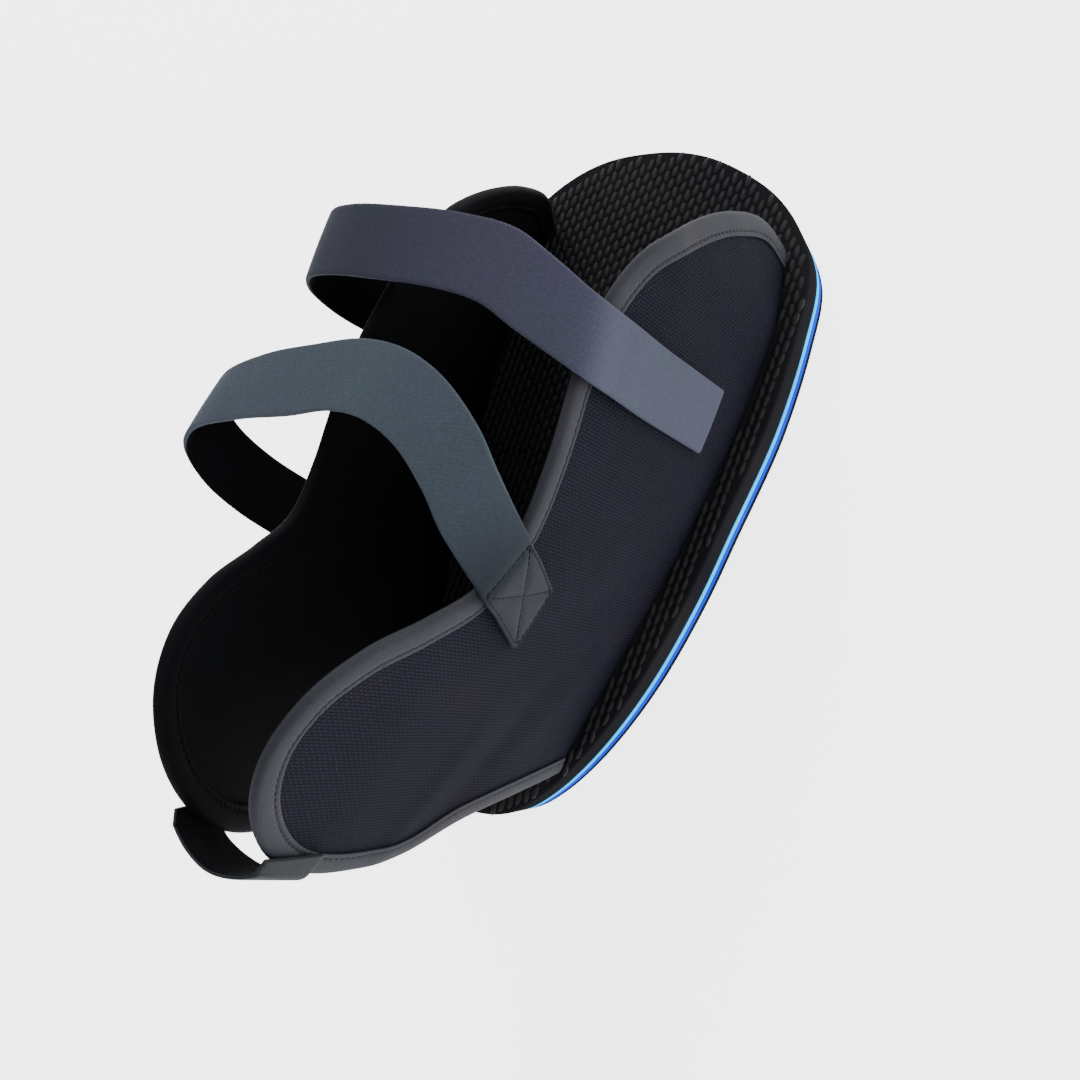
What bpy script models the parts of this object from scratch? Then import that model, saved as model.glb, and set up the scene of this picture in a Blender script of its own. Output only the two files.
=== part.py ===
"""Cast shoe: an open-toed, open-heeled canvas shoe on a layered foam sole.

Metres, +Z up, +X to the toe, +Y to the shoe's left. The origin is on the floor
under the middle of the sole.
"""

from math import cos, pi, sin

import bmesh
import bpy
from mathutils import Vector

MM = 0.001

# Sole
HALF_LENGTH = 140.4 * MM
BALL_HALF_WIDTH = 66.3 * MM
OUTSOLE_THICKNESS = 4.1 * MM
STRIPE_THICKNESS = 4.4 * MM
TOP_SOLE_THICKNESS = 14.4 * MM
LAYER_GAP = 0.3 * MM
SOLE_EDGE_ROUND = 1.2 * MM
TOP_EDGE_INSET = 1.0 * MM
BOTTOM_EDGE_INSET = 0.7 * MM
TOE_SPRING = 0.93 * MM
HEEL_SPRING = 0.85 * MM
FLAT_FRONT = 0.50
FLAT_REAR = -0.60

# Canvas upper
CANVAS = 1.8 * MM
WING_HEIGHT = 172.0 * MM
WING_LEAN = 30.0 * MM
LEAN_HEIGHT = 100.0 * MM
LEAN_POWER = 1.3
LEFT_WING_SHORTER = 10.0 * MM
SHORTER_POWER = 1.5
SHORTER_START = 0.5
CLEARANCE = 0.3 * MM
SLIT_DEPTH = 1.0 * MM

# Folded edge tape
TAPE = 0.7 * MM
TAPE_WIDTH = 8.0 * MM
TAPE_LIFT = 0.6 * MM
TAPE_CLEARANCE = 0.45 * MM

# Webbing
STRAP_WIDTH = 24.6 * MM
STRAP_THICKNESS = 1.9 * MM
HEEL_STRAP_WIDTH = 24.6 * MM
HEEL_STRAP_THICKNESS = 1.4 * MM
STRAP_CLEARANCE = 0.5 * MM
STRAP_STEP = 1.5 * MM

# Mesh fineness and the reach of a cutter past what it cuts
SHARP_ANGLE = 35.0
SLOPE_STEP = 1.0 * MM
CUTTER_MARGIN = 5.0 * MM
SPRING_CUTS = 3
FOOT_STEPS = 24
SOLE_STEPS = 5
EDGE_STEPS = 4
WING_GRID = 12.5 * MM
STRAP_STEPS = 3

# Columns: place along the shoe as a share of HALF_LENGTH,
# half width as a share of BALL_HALF_WIDTH.
SOLE_OUTLINE = (
    (1.000, 0.000),
    (0.987, 0.230),
    (0.932, 0.555),
    (0.850, 0.775),
    (0.750, 0.920),
    (0.580, 0.978),
    (0.310, 1.000),
    (0.000, 0.945),
    (-0.220, 0.900),
    (-0.490, 0.795),
    (-0.720, 0.635),
    (-0.870, 0.470),
    (-0.950, 0.325),
    (-0.988, 0.165),
    (-1.000, 0.000),
)

# Columns: place along the shoe as a share of HALF_LENGTH, half width of the
# wing's foot as a share of BALL_HALF_WIDTH, lean inwards as a share of
# WING_LEAN at a height of LEAN_HEIGHT.
WING_SECTIONS = (
    (-1.110, 0.300, 0.275),
    (-0.945, 0.422, 0.273),
    (-0.820, 0.490, 0.270),
    (-0.570, 0.583, 0.228),
    (-0.360, 0.664, 0.233),
    (-0.150, 0.737, 0.267),
    (0.040, 0.785, 0.352),
    (0.250, 0.825, 0.513),
    (0.440, 0.837, 0.611),
    (0.565, 0.832, 0.671),
    (0.705, 0.775, 0.831),
    (0.780, 0.718, 0.965),
    (0.860, 0.610, 1.000),
)

# Columns: place along the shoe as a share of HALF_LENGTH, height over the
# footbed as a share of WING_HEIGHT. From the front of the foot over the
# throat and the ankle and down behind the heel.
WING_EDGE = (
    (0.784, 0.000),
    (0.802, 0.115),
    (0.745, 0.262),
    (0.680, 0.365),
    (0.590, 0.472),
    (0.500, 0.555),
    (0.350, 0.627),
    (0.160, 0.661),
    (-0.035, 0.664),
    (-0.190, 0.668),
    (-0.318, 0.704),
    (-0.402, 0.795),
    (-0.487, 0.907),
    (-0.590, 0.981),
    (-0.705, 1.000),
    (-0.830, 0.962),
    (-0.945, 0.868),
    (-1.013, 0.747),
    (-1.031, 0.600),
    (-1.002, 0.450),
    (-0.915, 0.330),
    (-0.850, 0.170),
    (-0.790, 0.000),
)

# Columns: place along the shoe as a share of HALF_LENGTH, height over the
# footbed as a share of WING_HEIGHT, lift off the canvas as a share of
# STRAP_STEP, turn of the strap's width from level in degrees, width as a share
# of the strap's. These rows lie on a wing's outer face. The rear strap's sewn
# end is drawn in by its stitches.
FRONT_STRAP_ON_RIGHT = (
    (0.244, 0.160, 0.0, 0.0, 1.00),
    (0.243, 0.300, 0.0, 0.0, 1.00),
    (0.243, 0.440, 0.2, 0.0, 1.00),
    (0.245, 0.560, 1.0, 0.0, 1.00),
    (0.250, 0.680, 1.0, 0.0, 1.00),
)
FRONT_STRAP_ON_LEFT = (
    (0.242, 0.390, 1.0, 0.0, 1.00),
    (0.240, 0.310, 0.2, 0.0, 1.00),
    (0.238, 0.220, 0.0, 0.0, 1.00),
)
REAR_STRAP_ON_RIGHT = (
    (-0.358, 0.504, 0.0, 9.0, 0.91),
    (-0.327, 0.560, 0.4, 15.0, 0.91),
    (-0.294, 0.622, 1.0, 21.0, 0.91),
    (-0.262, 0.684, 1.0, 26.0, 0.92),
)
REAR_STRAP_ON_LEFT = (
    (-0.355, 0.360, 1.0, 0.0, 1.00),
    (-0.356, 0.290, 0.2, 0.0, 1.00),
    (-0.357, 0.210, 0.0, 0.0, 1.00),
)

# Columns: place along the shoe as a share of HALF_LENGTH, place across as a
# share of BALL_HALF_WIDTH, height over the footbed as a share of WING_HEIGHT,
# turn of the strap's width about the vertical in degrees. The free arch and
# the loop beside the left wing.
FRONT_STRAP_FREE = (
    (0.298, -0.330, 0.730, 8.0),
    (0.329, -0.140, 0.748, 9.0),
    (0.334, 0.130, 0.750, 6.0),
    (0.325, 0.480, 0.733, -1.0),
    (0.314, 0.822, 0.702, -1.0),
    (0.301, 1.022, 0.662, 1.5),
    (0.282, 1.101, 0.600, 3.0),
    (0.262, 1.060, 0.530, 1.0),
    (0.250, 0.940, 0.470, 2.0),
)
REAR_STRAP_FREE = (
    (-0.160, -0.440, 0.765, 28.0),
    (-0.090, -0.330, 0.800, 26.0),
    (-0.022, -0.130, 0.812, 18.0),
    (0.012, 0.110, 0.803, 14.0),
    (0.010, 0.380, 0.775, 8.0),
    (-0.030, 0.680, 0.745, 3.0),
    (-0.078, 1.030, 0.710, 9.0),
    (-0.144, 1.360, 0.667, 17.0),
    (-0.200, 1.480, 0.615, 15.0),
    (-0.260, 1.430, 0.555, 14.0),
    (-0.305, 1.300, 0.490, 14.0),
    (-0.335, 1.090, 0.435, 13.0),
    (-0.350, 0.890, 0.400, 8.0),
)

# The heel strap's middle height over the footbed, as a share of WING_HEIGHT.
HEEL_STRAP_UP = 0.800
# Columns: as for the other rows that lie on a wing's outer face.
HEEL_STRAP_ON_WING = (
    (-0.950, HEEL_STRAP_UP, 1.0, 90.0, 1.00),
    (-0.965, HEEL_STRAP_UP, 1.0, 90.0, 1.00),
    (-0.980, HEEL_STRAP_UP, 1.0, 90.0, 1.00),
)
# Columns: place along the shoe of the lower edge and of the upper edge as
# shares of HALF_LENGTH, place across as a share of BALL_HALF_WIDTH. The bend
# behind the heel, on the shoe's left half.
HEEL_STRAP_BEND = (
    (-1.024, -0.990, 0.243),
    (-1.042, -1.020, 0.140),
    (-1.048, -1.036, 0.000),
)

BLACK_FOAM = (0.012, 0.012, 0.013)
BLUE_FOAM = (0.010, 0.130, 0.800)
LIGHT_BLUE_FOAM = (0.080, 0.640, 0.950)
CANVAS_COLOUR = (0.018, 0.018, 0.026)
TAPE_COLOUR = (0.070, 0.072, 0.085)
STRAP_COLOUR = (0.075, 0.095, 0.125)
HEEL_STRAP_COLOUR = (0.008, 0.008, 0.009)


def clear_scene():
    """Remove what the scene holds."""
    for item in list(bpy.data.objects):
        bpy.data.objects.remove(item, do_unlink=True)


def material(name, colour, roughness):
    """A plain material for a foam, canvas or webbing piece."""
    made = bpy.data.materials.new(name)
    made.use_nodes = True
    shader = made.node_tree.nodes["Principled BSDF"]
    shader.inputs["Base Color"].default_value = (*colour, 1.0)
    shader.inputs["Roughness"].default_value = roughness
    shader.inputs["Metallic"].default_value = 0.0
    made.diffuse_color = (*colour, 1.0)
    return made


def spline(points, steps, closed=False):
    """Points along a centripetal smooth curve through the given ones."""
    points = [Vector(point) for point in points]
    count = len(points)
    if closed:
        ring = [points[-1]] + points + [points[0], points[1]]
        spans = count
    else:
        first = points[0] * 2 - points[1]
        last = points[-1] * 2 - points[-2]
        ring = [first] + points + [last]
        spans = count - 1
    curve = []
    for index in range(spans):
        p0, p1, p2, p3 = ring[index:index + 4]
        d0 = max((p1 - p0).length, 1e-9) ** 0.5
        d1 = max((p2 - p1).length, 1e-9) ** 0.5
        d2 = max((p3 - p2).length, 1e-9) ** 0.5
        m1 = (p2 - p1) + d1 * ((p1 - p0) / d0 - (p2 - p0) / (d0 + d1))
        m2 = (p2 - p1) + d1 * ((p3 - p2) / d2 - (p3 - p1) / (d1 + d2))
        for step in range(steps):
            t = step / steps
            curve.append(
                p1 * (2 * t**3 - 3 * t**2 + 1)
                + m1 * (t**3 - 2 * t**2 + t)
                + p2 * (-2 * t**3 + 3 * t**2)
                + m2 * (t**3 - t**2)
            )
    if not closed:
        curve.append(points[-1])
    return curve


def table_value(table, column, key):
    """Smooth value of a table's column at a key of its first column."""
    rows = sorted(table)
    keys = [row[0] for row in rows]
    values = [row[column] for row in rows]
    if key <= keys[0]:
        return values[0]
    if key >= keys[-1]:
        return values[-1]
    index = max(i for i, place in enumerate(keys) if place <= key)
    index = min(index, len(keys) - 2)

    def slope(at):
        low = max(at - 1, 0)
        high = min(at + 1, len(keys) - 1)
        return (values[high] - values[low]) / (keys[high] - keys[low])

    width = keys[index + 1] - keys[index]
    t = (key - keys[index]) / width
    return (
        values[index] * (2 * t**3 - 3 * t**2 + 1)
        + slope(index) * width * (t**3 - 2 * t**2 + t)
        + values[index + 1] * (-2 * t**3 + 3 * t**2)
        + slope(index + 1) * width * (t**3 - t**2)
    )


def spring(x):
    """Lift of the sole off the floor at the toe and at the heel."""
    front = FLAT_FRONT * HALF_LENGTH
    rear = FLAT_REAR * HALF_LENGTH
    toe = max(x - front, 0.0) / (HALF_LENGTH - front)
    heel = max(rear - x, 0.0) / (HALF_LENGTH + rear)
    return TOE_SPRING * toe**2 + HEEL_SPRING * heel**2


def layer_bottoms():
    """Heights of the undersides of the four sole layers."""
    lower = OUTSOLE_THICKNESS + LAYER_GAP
    upper = lower + STRIPE_THICKNESS + LAYER_GAP
    top = upper + STRIPE_THICKNESS + LAYER_GAP
    return {"outsole": 0.0, "stripe_lower": lower, "stripe_upper": upper, "top_sole": top}


def footbed_height():
    """Height of the footbed over the floor, without the springs."""
    return layer_bottoms()["top_sole"] + TOP_SOLE_THICKNESS


def wing_side(x, over):
    """Distance of a wing's middle surface from the shoe's centre plane."""
    along = x / HALF_LENGTH
    foot = table_value(WING_SECTIONS, 1, along) * BALL_HALF_WIDTH
    lean = table_value(WING_SECTIONS, 2, along) * WING_LEAN
    return foot - lean * (max(over, 0.0) / LEAN_HEIGHT) ** LEAN_POWER


def wing_point(x, over, side, out=0.0):
    """A point on a wing, at a distance out from its middle surface."""
    step = SLOPE_STEP
    along = (wing_side(x + step, over) - wing_side(x - step, over)) / (2 * step)
    up = (wing_side(x, over + step) - wing_side(x, over - step)) / (2 * step)
    if over < 0:
        up = 0.0
    normal = Vector((-along, 1.0, -up)).normalized()
    place = Vector((x, wing_side(x, over), footbed_height() + over + spring(x)))
    place += normal * out
    return Vector((place.x, side * place.y, place.z))


def wing_outline(side):
    """The wing's edge in its own side view, from its front foot to its rear foot."""
    points = []
    for along, up in WING_EDGE:
        x = along * HALF_LENGTH
        if side > 0 and x > 0:
            x -= LEFT_WING_SHORTER * (1.0 - up) ** SHORTER_POWER * min(1.0, along / SHORTER_START)
        points.append((x, up * WING_HEIGHT, 0.0))
    return [Vector((p.x, p.y)) for p in spline(points, EDGE_STEPS)]


def inset(line, distance):
    """A line moved to the left of its own direction."""
    moved = []
    for index, point in enumerate(line):
        before = line[max(index - 1, 0)]
        after = line[min(index + 1, len(line) - 1)]
        tangent = (after - before).normalized()
        moved.append(point + Vector((-tangent.y, tangent.x)) * distance)
    return moved


def new_object(name, mesh_builder, finish):
    """Link a closed mesh as a named object with its material."""
    mesh = bpy.data.meshes.new(name)
    bmesh.ops.recalc_face_normals(mesh_builder, faces=mesh_builder.faces)
    mesh_builder.to_mesh(mesh)
    mesh_builder.free()
    mesh.materials.append(finish)
    made = bpy.data.objects.new(name, mesh)
    bpy.context.collection.objects.link(made)
    return made


def smooth(item):
    """Shade round stretches smooth and keep real corners sharp."""
    item.data.shade_smooth()
    item.data.set_sharp_from_angle(angle=SHARP_ANGLE * pi / 180)


def cutter(item):
    """Mark an object as a cutter that is no part of the shoe."""
    item.hide_render = True
    item.display_type = "WIRE"
    item.hide_set(True)


def boolean(item, tool, operation):
    """Cut or join an object with another by the exact solver."""
    step = item.modifiers.new(operation.title(), "BOOLEAN")
    step.operation = operation
    step.solver = "EXACT"
    step.object = tool
    cutter(tool)


def stacked(rings):
    """A closed solid through rings of points with the same count."""
    build = bmesh.new()
    layers = [[build.verts.new(point) for point in ring] for ring in rings]
    for low, high in zip(layers, layers[1:]):
        for index in range(len(low)):
            after = (index + 1) % len(low)
            build.faces.new((low[index], low[after], high[after], high[index]))
    build.faces.new(list(reversed(layers[0])))
    build.faces.new(layers[-1])
    return build


def sole_outline(shrink=0.0):
    """The sole's plan outline, all round."""
    half = [(a * HALF_LENGTH, w * BALL_HALF_WIDTH, 0.0) for a, w in SOLE_OUTLINE]
    other = [(x, -y, 0.0) for x, y, _ in reversed(half[1:-1])]
    ring = spline(half + other, SOLE_STEPS, closed=True)
    flat = [Vector((p.x, p.y)) for p in ring]
    if shrink == 0.0:
        return flat
    moved = []
    for index, point in enumerate(flat):
        tangent = (flat[(index + 1) % len(flat)] - flat[index - 1]).normalized()
        moved.append(point + Vector((-tangent.y, tangent.x)) * shrink)
    return moved


def sole_layer(name, finish, thickness, rounded_top=False, rounded_bottom=False):
    """One foam layer of the sole."""
    bottom = layer_bottoms()[name]
    levels = [(0.0, 0.0), (thickness, 0.0)]
    if rounded_top:
        levels = levels[:1] + [(thickness - SOLE_EDGE_ROUND, 0.0), (thickness, TOP_EDGE_INSET)]
    if rounded_bottom:
        levels = [(0.0, BOTTOM_EDGE_INSET), (SOLE_EDGE_ROUND, 0.0)] + levels[1:]
    rings = []
    for level, shrink in levels:
        ring = sole_outline(shrink)
        rings.append([Vector((p.x, p.y, bottom + level)) for p in ring])
    build = stacked(rings)
    for flat_end, tip in ((FLAT_FRONT, 1.0), (FLAT_REAR, -1.0)):
        shares = [flat_end + (tip - flat_end) * i / SPRING_CUTS for i in range(SPRING_CUTS)]
        cut_across(build, [HALF_LENGTH * share for share in shares], 0)
    for vertex in build.verts:
        vertex.co.z += spring(vertex.co.x)
    layer = new_object(name, build, finish)
    smooth(layer)
    return layer


def cut_across(build, places, axis):
    """Add edges across a mesh at the given places along an axis."""
    normal = Vector((0.0, 0.0, 0.0))
    normal[axis] = 1.0
    for place in places:
        bmesh.ops.bisect_plane(
            build,
            geom=build.verts[:] + build.edges[:] + build.faces[:],
            dist=1e-7,
            plane_co=normal * place,
            plane_no=normal,
        )


def foot_line(side, out):
    """The wing's foot seen from above, moved out from its middle surface."""
    line = wing_outline(side)
    front = line[0].x
    rear = line[-1].x
    shares = [i / FOOT_STEPS for i in range(FOOT_STEPS + 1)]
    return [wing_point(rear + (front - rear) * share, -SLIT_DEPTH, side, out) for share in shares]


def web_level():
    """Middle height of the web that joins the wings inside the sole."""
    return layer_bottoms()["top_sole"] + CANVAS / 2


def web_body(name, finish, grow):
    """The web between the wings, or with grow the pocket that takes it."""
    right = foot_line(-1, CANVAS / 2 + grow)
    left = foot_line(1, CANVAS / 2 + grow)
    right[0].x -= grow
    left[0].x -= grow
    right[-1].x += grow
    left[-1].x += grow
    plan = right + list(reversed(left))
    low = -CANVAS / 2
    if grow > 0:
        low -= CUTTER_MARGIN
    high = CANVAS / 2 + grow
    rings = []
    for level in (low, high):
        rings.append([Vector((p.x, p.y, web_level() + level + spring(p.x))) for p in plan])
    return new_object(name, stacked(rings), finish)


def slit_cutter(side, finish):
    """A cutter for the slit that a wing passes up through."""
    outer = foot_line(side, CANVAS / 2 + CLEARANCE)
    inner = foot_line(side, -CANVAS / 2 - CLEARANCE)
    for line in (outer, inner):
        line[0].x -= CLEARANCE
        line[-1].x += CLEARANCE
    plan = outer + list(reversed(inner))
    levels = (web_level(), footbed_height() + CUTTER_MARGIN)
    rings = [[Vector((p.x, p.y, level)) for p in plan] for level in levels]
    return new_object("slit_cutter", stacked(rings), finish)


def wing(side, finish):
    """One canvas wing as a curved wall, from the web to its edge."""
    line = inset(wing_outline(side), TAPE + TAPE_CLEARANCE)
    depth = web_level() - footbed_height()
    floor = [Vector((line[-1].x, depth)), Vector((line[0].x, depth))]
    build = bmesh.new()
    ring = [build.verts.new((p.x, p.y, 0.0)) for p in line + floor]
    build.faces.new(ring)
    columns = int(2 * HALF_LENGTH / WING_GRID) + 2
    rows = int(WING_HEIGHT / WING_GRID) + 1
    cut_across(build, [WING_GRID * (i - columns / 2) for i in range(columns + 1)], 0)
    cut_across(build, [WING_GRID * i for i in range(rows)], 1)
    build.verts.index_update()
    flat = [(v.co.x, v.co.y) for v in build.verts]
    faces = [[v.index for v in face.verts] for face in build.faces]
    rim = [[v.index for v in edge.verts] for edge in build.edges if edge.is_boundary]
    build.free()
    solid = bmesh.new()
    outer = [solid.verts.new(wing_point(x, z, side, CANVAS / 2)) for x, z in flat]
    inner = [solid.verts.new(wing_point(x, z, side, -CANVAS / 2)) for x, z in flat]
    for face in faces:
        solid.faces.new([outer[i] for i in face])
        solid.faces.new([inner[i] for i in reversed(face)])
    for a, b in rim:
        solid.faces.new((outer[a], outer[b], inner[b], inner[a]))
    return new_object("wing", solid, finish)


def upper(finish):
    """The whole upper: two wings and the web that joins them."""
    web = web_body("upper", finish, 0.0)
    for side in (-1, 1):
        boolean(web, wing(side, finish), "UNION")
    smooth(web)
    return web


def top_sole(finish):
    """The thick foam layer with a pocket for the web and a slit for each wing."""
    layer = sole_layer("top_sole", finish, TOP_SOLE_THICKNESS, rounded_top=True)
    boolean(layer, web_body("pocket_cutter", finish, CLEARANCE), "DIFFERENCE")
    for side in (-1, 1):
        boolean(layer, slit_cutter(side, finish), "DIFFERENCE")
    return layer


def swept(name, sections, finish):
    """A closed strip through cross-sections with the same count of points."""
    strip = new_object(name, stacked(sections), finish)
    smooth(strip)
    return strip


def binding(name, side, finish):
    """The tape folded over a wing's edge, a channel in cross-section."""
    edge = [p for p in wing_outline(side) if p.y > TAPE_LIFT]
    fold = inset(edge, TAPE)
    hem = inset(edge, TAPE_WIDTH)
    face = CANVAS / 2 + TAPE_CLEARANCE
    sections = []
    for outer, bottom, end in zip(edge, fold, hem):
        sections.append([
            wing_point(outer.x, outer.y, side, -face),
            wing_point(outer.x, outer.y, side, face),
            wing_point(bottom.x, bottom.y, side, face + TAPE),
            wing_point(end.x, end.y, side, face + TAPE),
            wing_point(end.x, end.y, side, face),
            wing_point(bottom.x, bottom.y, side, face),
            wing_point(bottom.x, bottom.y, side, -face),
            wing_point(end.x, end.y, side, -face),
            wing_point(end.x, end.y, side, -face - TAPE),
            wing_point(bottom.x, bottom.y, side, -face - TAPE),
        ])
    return swept(name, sections, finish)


def lying_edges(rows, side, width, thickness):
    """Strap edges on a wing's outer face, for rows of (along, up, lift, turn, width)."""
    pairs = []
    for along, up, lift, turn, wide in rows:
        half = Vector((cos(turn * pi / 180), sin(turn * pi / 180))) * wide * width / 2
        out = CANVAS / 2 + STRAP_CLEARANCE + thickness / 2 + lift * STRAP_STEP
        x = along * HALF_LENGTH
        ahead = wing_point(x + half.x, up * WING_HEIGHT - half.y, side, out)
        behind = wing_point(x - half.x, up * WING_HEIGHT + half.y, side, out)
        pairs.append((ahead, behind))
    return pairs


def free_edges(rows):
    """Strap edges in the air, for rows of (along, across, up, turn)."""
    pairs = []
    for along, across, up, turn in rows:
        x = along * HALF_LENGTH
        middle = Vector((x, across * BALL_HALF_WIDTH, footbed_height() + up * WING_HEIGHT))
        half = Vector((cos(turn * pi / 180), -sin(turn * pi / 180), 0.0)) * STRAP_WIDTH / 2
        pairs.append((middle + half, middle - half))
    return pairs


def ribbon(name, pairs, thickness, finish):
    """A strap of even thickness between two edges."""
    ahead = spline([pair[0] for pair in pairs], STRAP_STEPS)
    behind = spline([pair[1] for pair in pairs], STRAP_STEPS)
    sections = []
    for index in range(len(ahead)):
        low = max(index - 1, 0)
        high = min(index + 1, len(ahead) - 1)
        run = (ahead[high] + behind[high]) - (ahead[low] + behind[low])
        across = ahead[index] - behind[index]
        face = run.cross(across).normalized() * thickness / 2
        a, b = ahead[index], behind[index]
        sections.append([a + face, b + face, b - face, a - face])
    return swept(name, sections, finish)


def front_strap(finish):
    """The front strap, from the right wing to its loop beside the left one."""
    pairs = lying_edges(FRONT_STRAP_ON_RIGHT, -1, STRAP_WIDTH, STRAP_THICKNESS)
    pairs += free_edges(FRONT_STRAP_FREE)
    pairs += lying_edges(FRONT_STRAP_ON_LEFT, 1, STRAP_WIDTH, STRAP_THICKNESS)
    return ribbon("front_strap", pairs, STRAP_THICKNESS, finish)


def rear_strap(finish):
    """The rear strap, sewn to the right wing at a slant."""
    pairs = lying_edges(REAR_STRAP_ON_RIGHT, -1, STRAP_WIDTH, STRAP_THICKNESS)
    pairs += free_edges(REAR_STRAP_FREE)
    pairs += lying_edges(REAR_STRAP_ON_LEFT, 1, STRAP_WIDTH, STRAP_THICKNESS)
    return ribbon("rear_strap", pairs, STRAP_THICKNESS, finish)


def heel_strap(finish):
    """The band behind the heel, its ends lapped on the wings' outer faces."""
    left = lying_edges(HEEL_STRAP_ON_WING, 1, HEEL_STRAP_WIDTH, HEEL_STRAP_THICKNESS)
    right = lying_edges(HEEL_STRAP_ON_WING, -1, HEEL_STRAP_WIDTH, HEEL_STRAP_THICKNESS)
    bend = list(HEEL_STRAP_BEND)
    bend += [(low, high, -across) for low, high, across in reversed(HEEL_STRAP_BEND[:-1])]
    height = footbed_height() + HEEL_SPRING + HEEL_STRAP_UP * WING_HEIGHT
    half = HEEL_STRAP_WIDTH / 2
    behind = []
    for low, high, across in bend:
        y = across * BALL_HALF_WIDTH
        lower = Vector((low * HALF_LENGTH, y, height - half))
        behind.append((lower, Vector((high * HALF_LENGTH, y, height + half))))
    pairs = left + behind + list(reversed(right))
    return ribbon("heel_strap", pairs, HEEL_STRAP_THICKNESS, finish)


def build_shoe():
    """Make every piece of the shoe."""
    clear_scene()
    black = material("black_foam", BLACK_FOAM, 0.75)
    sole_layer("outsole", black, OUTSOLE_THICKNESS, rounded_bottom=True)
    sole_layer("stripe_lower", material("blue_foam", BLUE_FOAM, 0.6), STRIPE_THICKNESS)
    sole_layer("stripe_upper", material("light_blue_foam", LIGHT_BLUE_FOAM, 0.6), STRIPE_THICKNESS)
    top_sole(black)
    upper(material("canvas", CANVAS_COLOUR, 0.9))
    tape = material("edge_tape", TAPE_COLOUR, 0.85)
    binding("binding_right", -1, tape)
    binding("binding_left", 1, tape)
    webbing = material("webbing", STRAP_COLOUR, 0.8)
    front_strap(webbing)
    rear_strap(webbing)
    heel_strap(material("heel_webbing", HEEL_STRAP_COLOUR, 0.85))


build_shoe()
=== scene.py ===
"""The look of a cast shoe: canvas wings, folded tape and webbing on a layered foam sole.

Metres, +Z up, +X to the toe, +Y to the shoe's left. The origin is on the floor
under the middle of the sole.
"""
import logging
import math
from dataclasses import dataclass, field
from enum import Enum
from typing import Callable, Sequence

import bpy
import numpy as np
from mathutils import Matrix, Vector


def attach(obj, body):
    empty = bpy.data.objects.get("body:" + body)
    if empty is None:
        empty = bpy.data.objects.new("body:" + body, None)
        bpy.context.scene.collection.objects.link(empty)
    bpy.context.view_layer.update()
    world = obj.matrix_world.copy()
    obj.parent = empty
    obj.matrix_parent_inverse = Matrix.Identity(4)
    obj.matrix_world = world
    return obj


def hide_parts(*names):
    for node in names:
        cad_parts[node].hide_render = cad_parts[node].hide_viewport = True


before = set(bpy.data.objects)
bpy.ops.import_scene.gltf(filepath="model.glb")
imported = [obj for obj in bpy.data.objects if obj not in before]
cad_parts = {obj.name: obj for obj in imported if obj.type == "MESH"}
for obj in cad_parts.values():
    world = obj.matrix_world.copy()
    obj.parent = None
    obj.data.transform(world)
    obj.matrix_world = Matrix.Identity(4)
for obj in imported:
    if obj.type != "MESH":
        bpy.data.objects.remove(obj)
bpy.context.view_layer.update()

LOG = logging.getLogger("cast_shoe")
MM = 0.001

Colour = tuple[float, float, float]
Pair = tuple[Vector, Vector]
Table = tuple[tuple[float, ...], ...]


class Wing(Enum):
    """The side of the shoe that a wing stands on, as the sign of its Y."""

    RIGHT = -1
    LEFT = 1


class Slot(Enum):
    """Material slots of the record."""

    BLACK_FOAM = "black_foam"
    BLUE_FOAM = "blue_foam"
    LIGHT_BLUE_FOAM = "light_blue_foam"
    CANVAS = "canvas"
    EDGE_TAPE = "edge_tape"
    WEBBING = "webbing"
    HEEL_WEBBING = "heel_webbing"


def curve_through(points: Sequence[Sequence[float]], steps: int, closed: bool = False) -> list[Vector]:
    """Points along a centripetal smooth curve through the given ones.

    Args:
        points: The points that the curve passes.
        steps: Points made for each span.
        closed: True for a curve that comes back to its start.

    Returns:
        The curve's points, with the last given point at the end of an open curve.
    """
    given = [Vector(point) for point in points]
    if closed:
        ring = [given[-1]] + given + [given[0], given[1]]
    else:
        ring = [given[0] * 2 - given[1]] + given + [given[-1] * 2 - given[-2]]
    curve = []
    for index in range(len(ring) - 3):
        p0, p1, p2, p3 = ring[index:index + 4]
        d0, d1, d2 = (max((b - a).length, 1e-9) ** 0.5 for a, b in ((p0, p1), (p1, p2), (p2, p3)))
        m1 = (p2 - p1) + d1 * ((p1 - p0) / d0 - (p2 - p0) / (d0 + d1))
        m2 = (p2 - p1) + d1 * ((p3 - p2) / d2 - (p3 - p1) / (d1 + d2))
        for step in range(steps):
            t = step / steps
            near = p1 * (2 * t**3 - 3 * t**2 + 1) + m1 * (t**3 - 2 * t**2 + t)
            curve.append(near + p2 * (-2 * t**3 + 3 * t**2) + m2 * (t**3 - t**2))
    if not closed:
        curve.append(given[-1])
    return curve


def table_value(table: Table, column: int, key: float) -> float:
    """Smooth value of a table's column.

    Args:
        table: Rows with the key in their first column.
        column: The column to read.
        key: The place to read it at.

    Returns:
        The value, held at the table's ends.
    """
    rows = sorted(table)
    if key <= rows[0][0]:
        return rows[0][column]
    if key >= rows[-1][0]:
        return rows[-1][column]
    index = max(i for i, row in enumerate(rows[:-1]) if row[0] <= key)

    def slope(at: int) -> float:
        """Slope of the column at a row."""
        low, high = rows[max(at - 1, 0)], rows[min(at + 1, len(rows) - 1)]
        return (high[column] - low[column]) / (high[0] - low[0])

    width = rows[index + 1][0] - rows[index][0]
    t = (key - rows[index][0]) / width
    near = rows[index][column] * (2 * t**3 - 3 * t**2 + 1) + slope(index) * width * (t**3 - 2 * t**2 + t)
    return near + rows[index + 1][column] * (-2 * t**3 + 3 * t**2) + slope(index + 1) * width * (t**3 - t**2)


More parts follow.
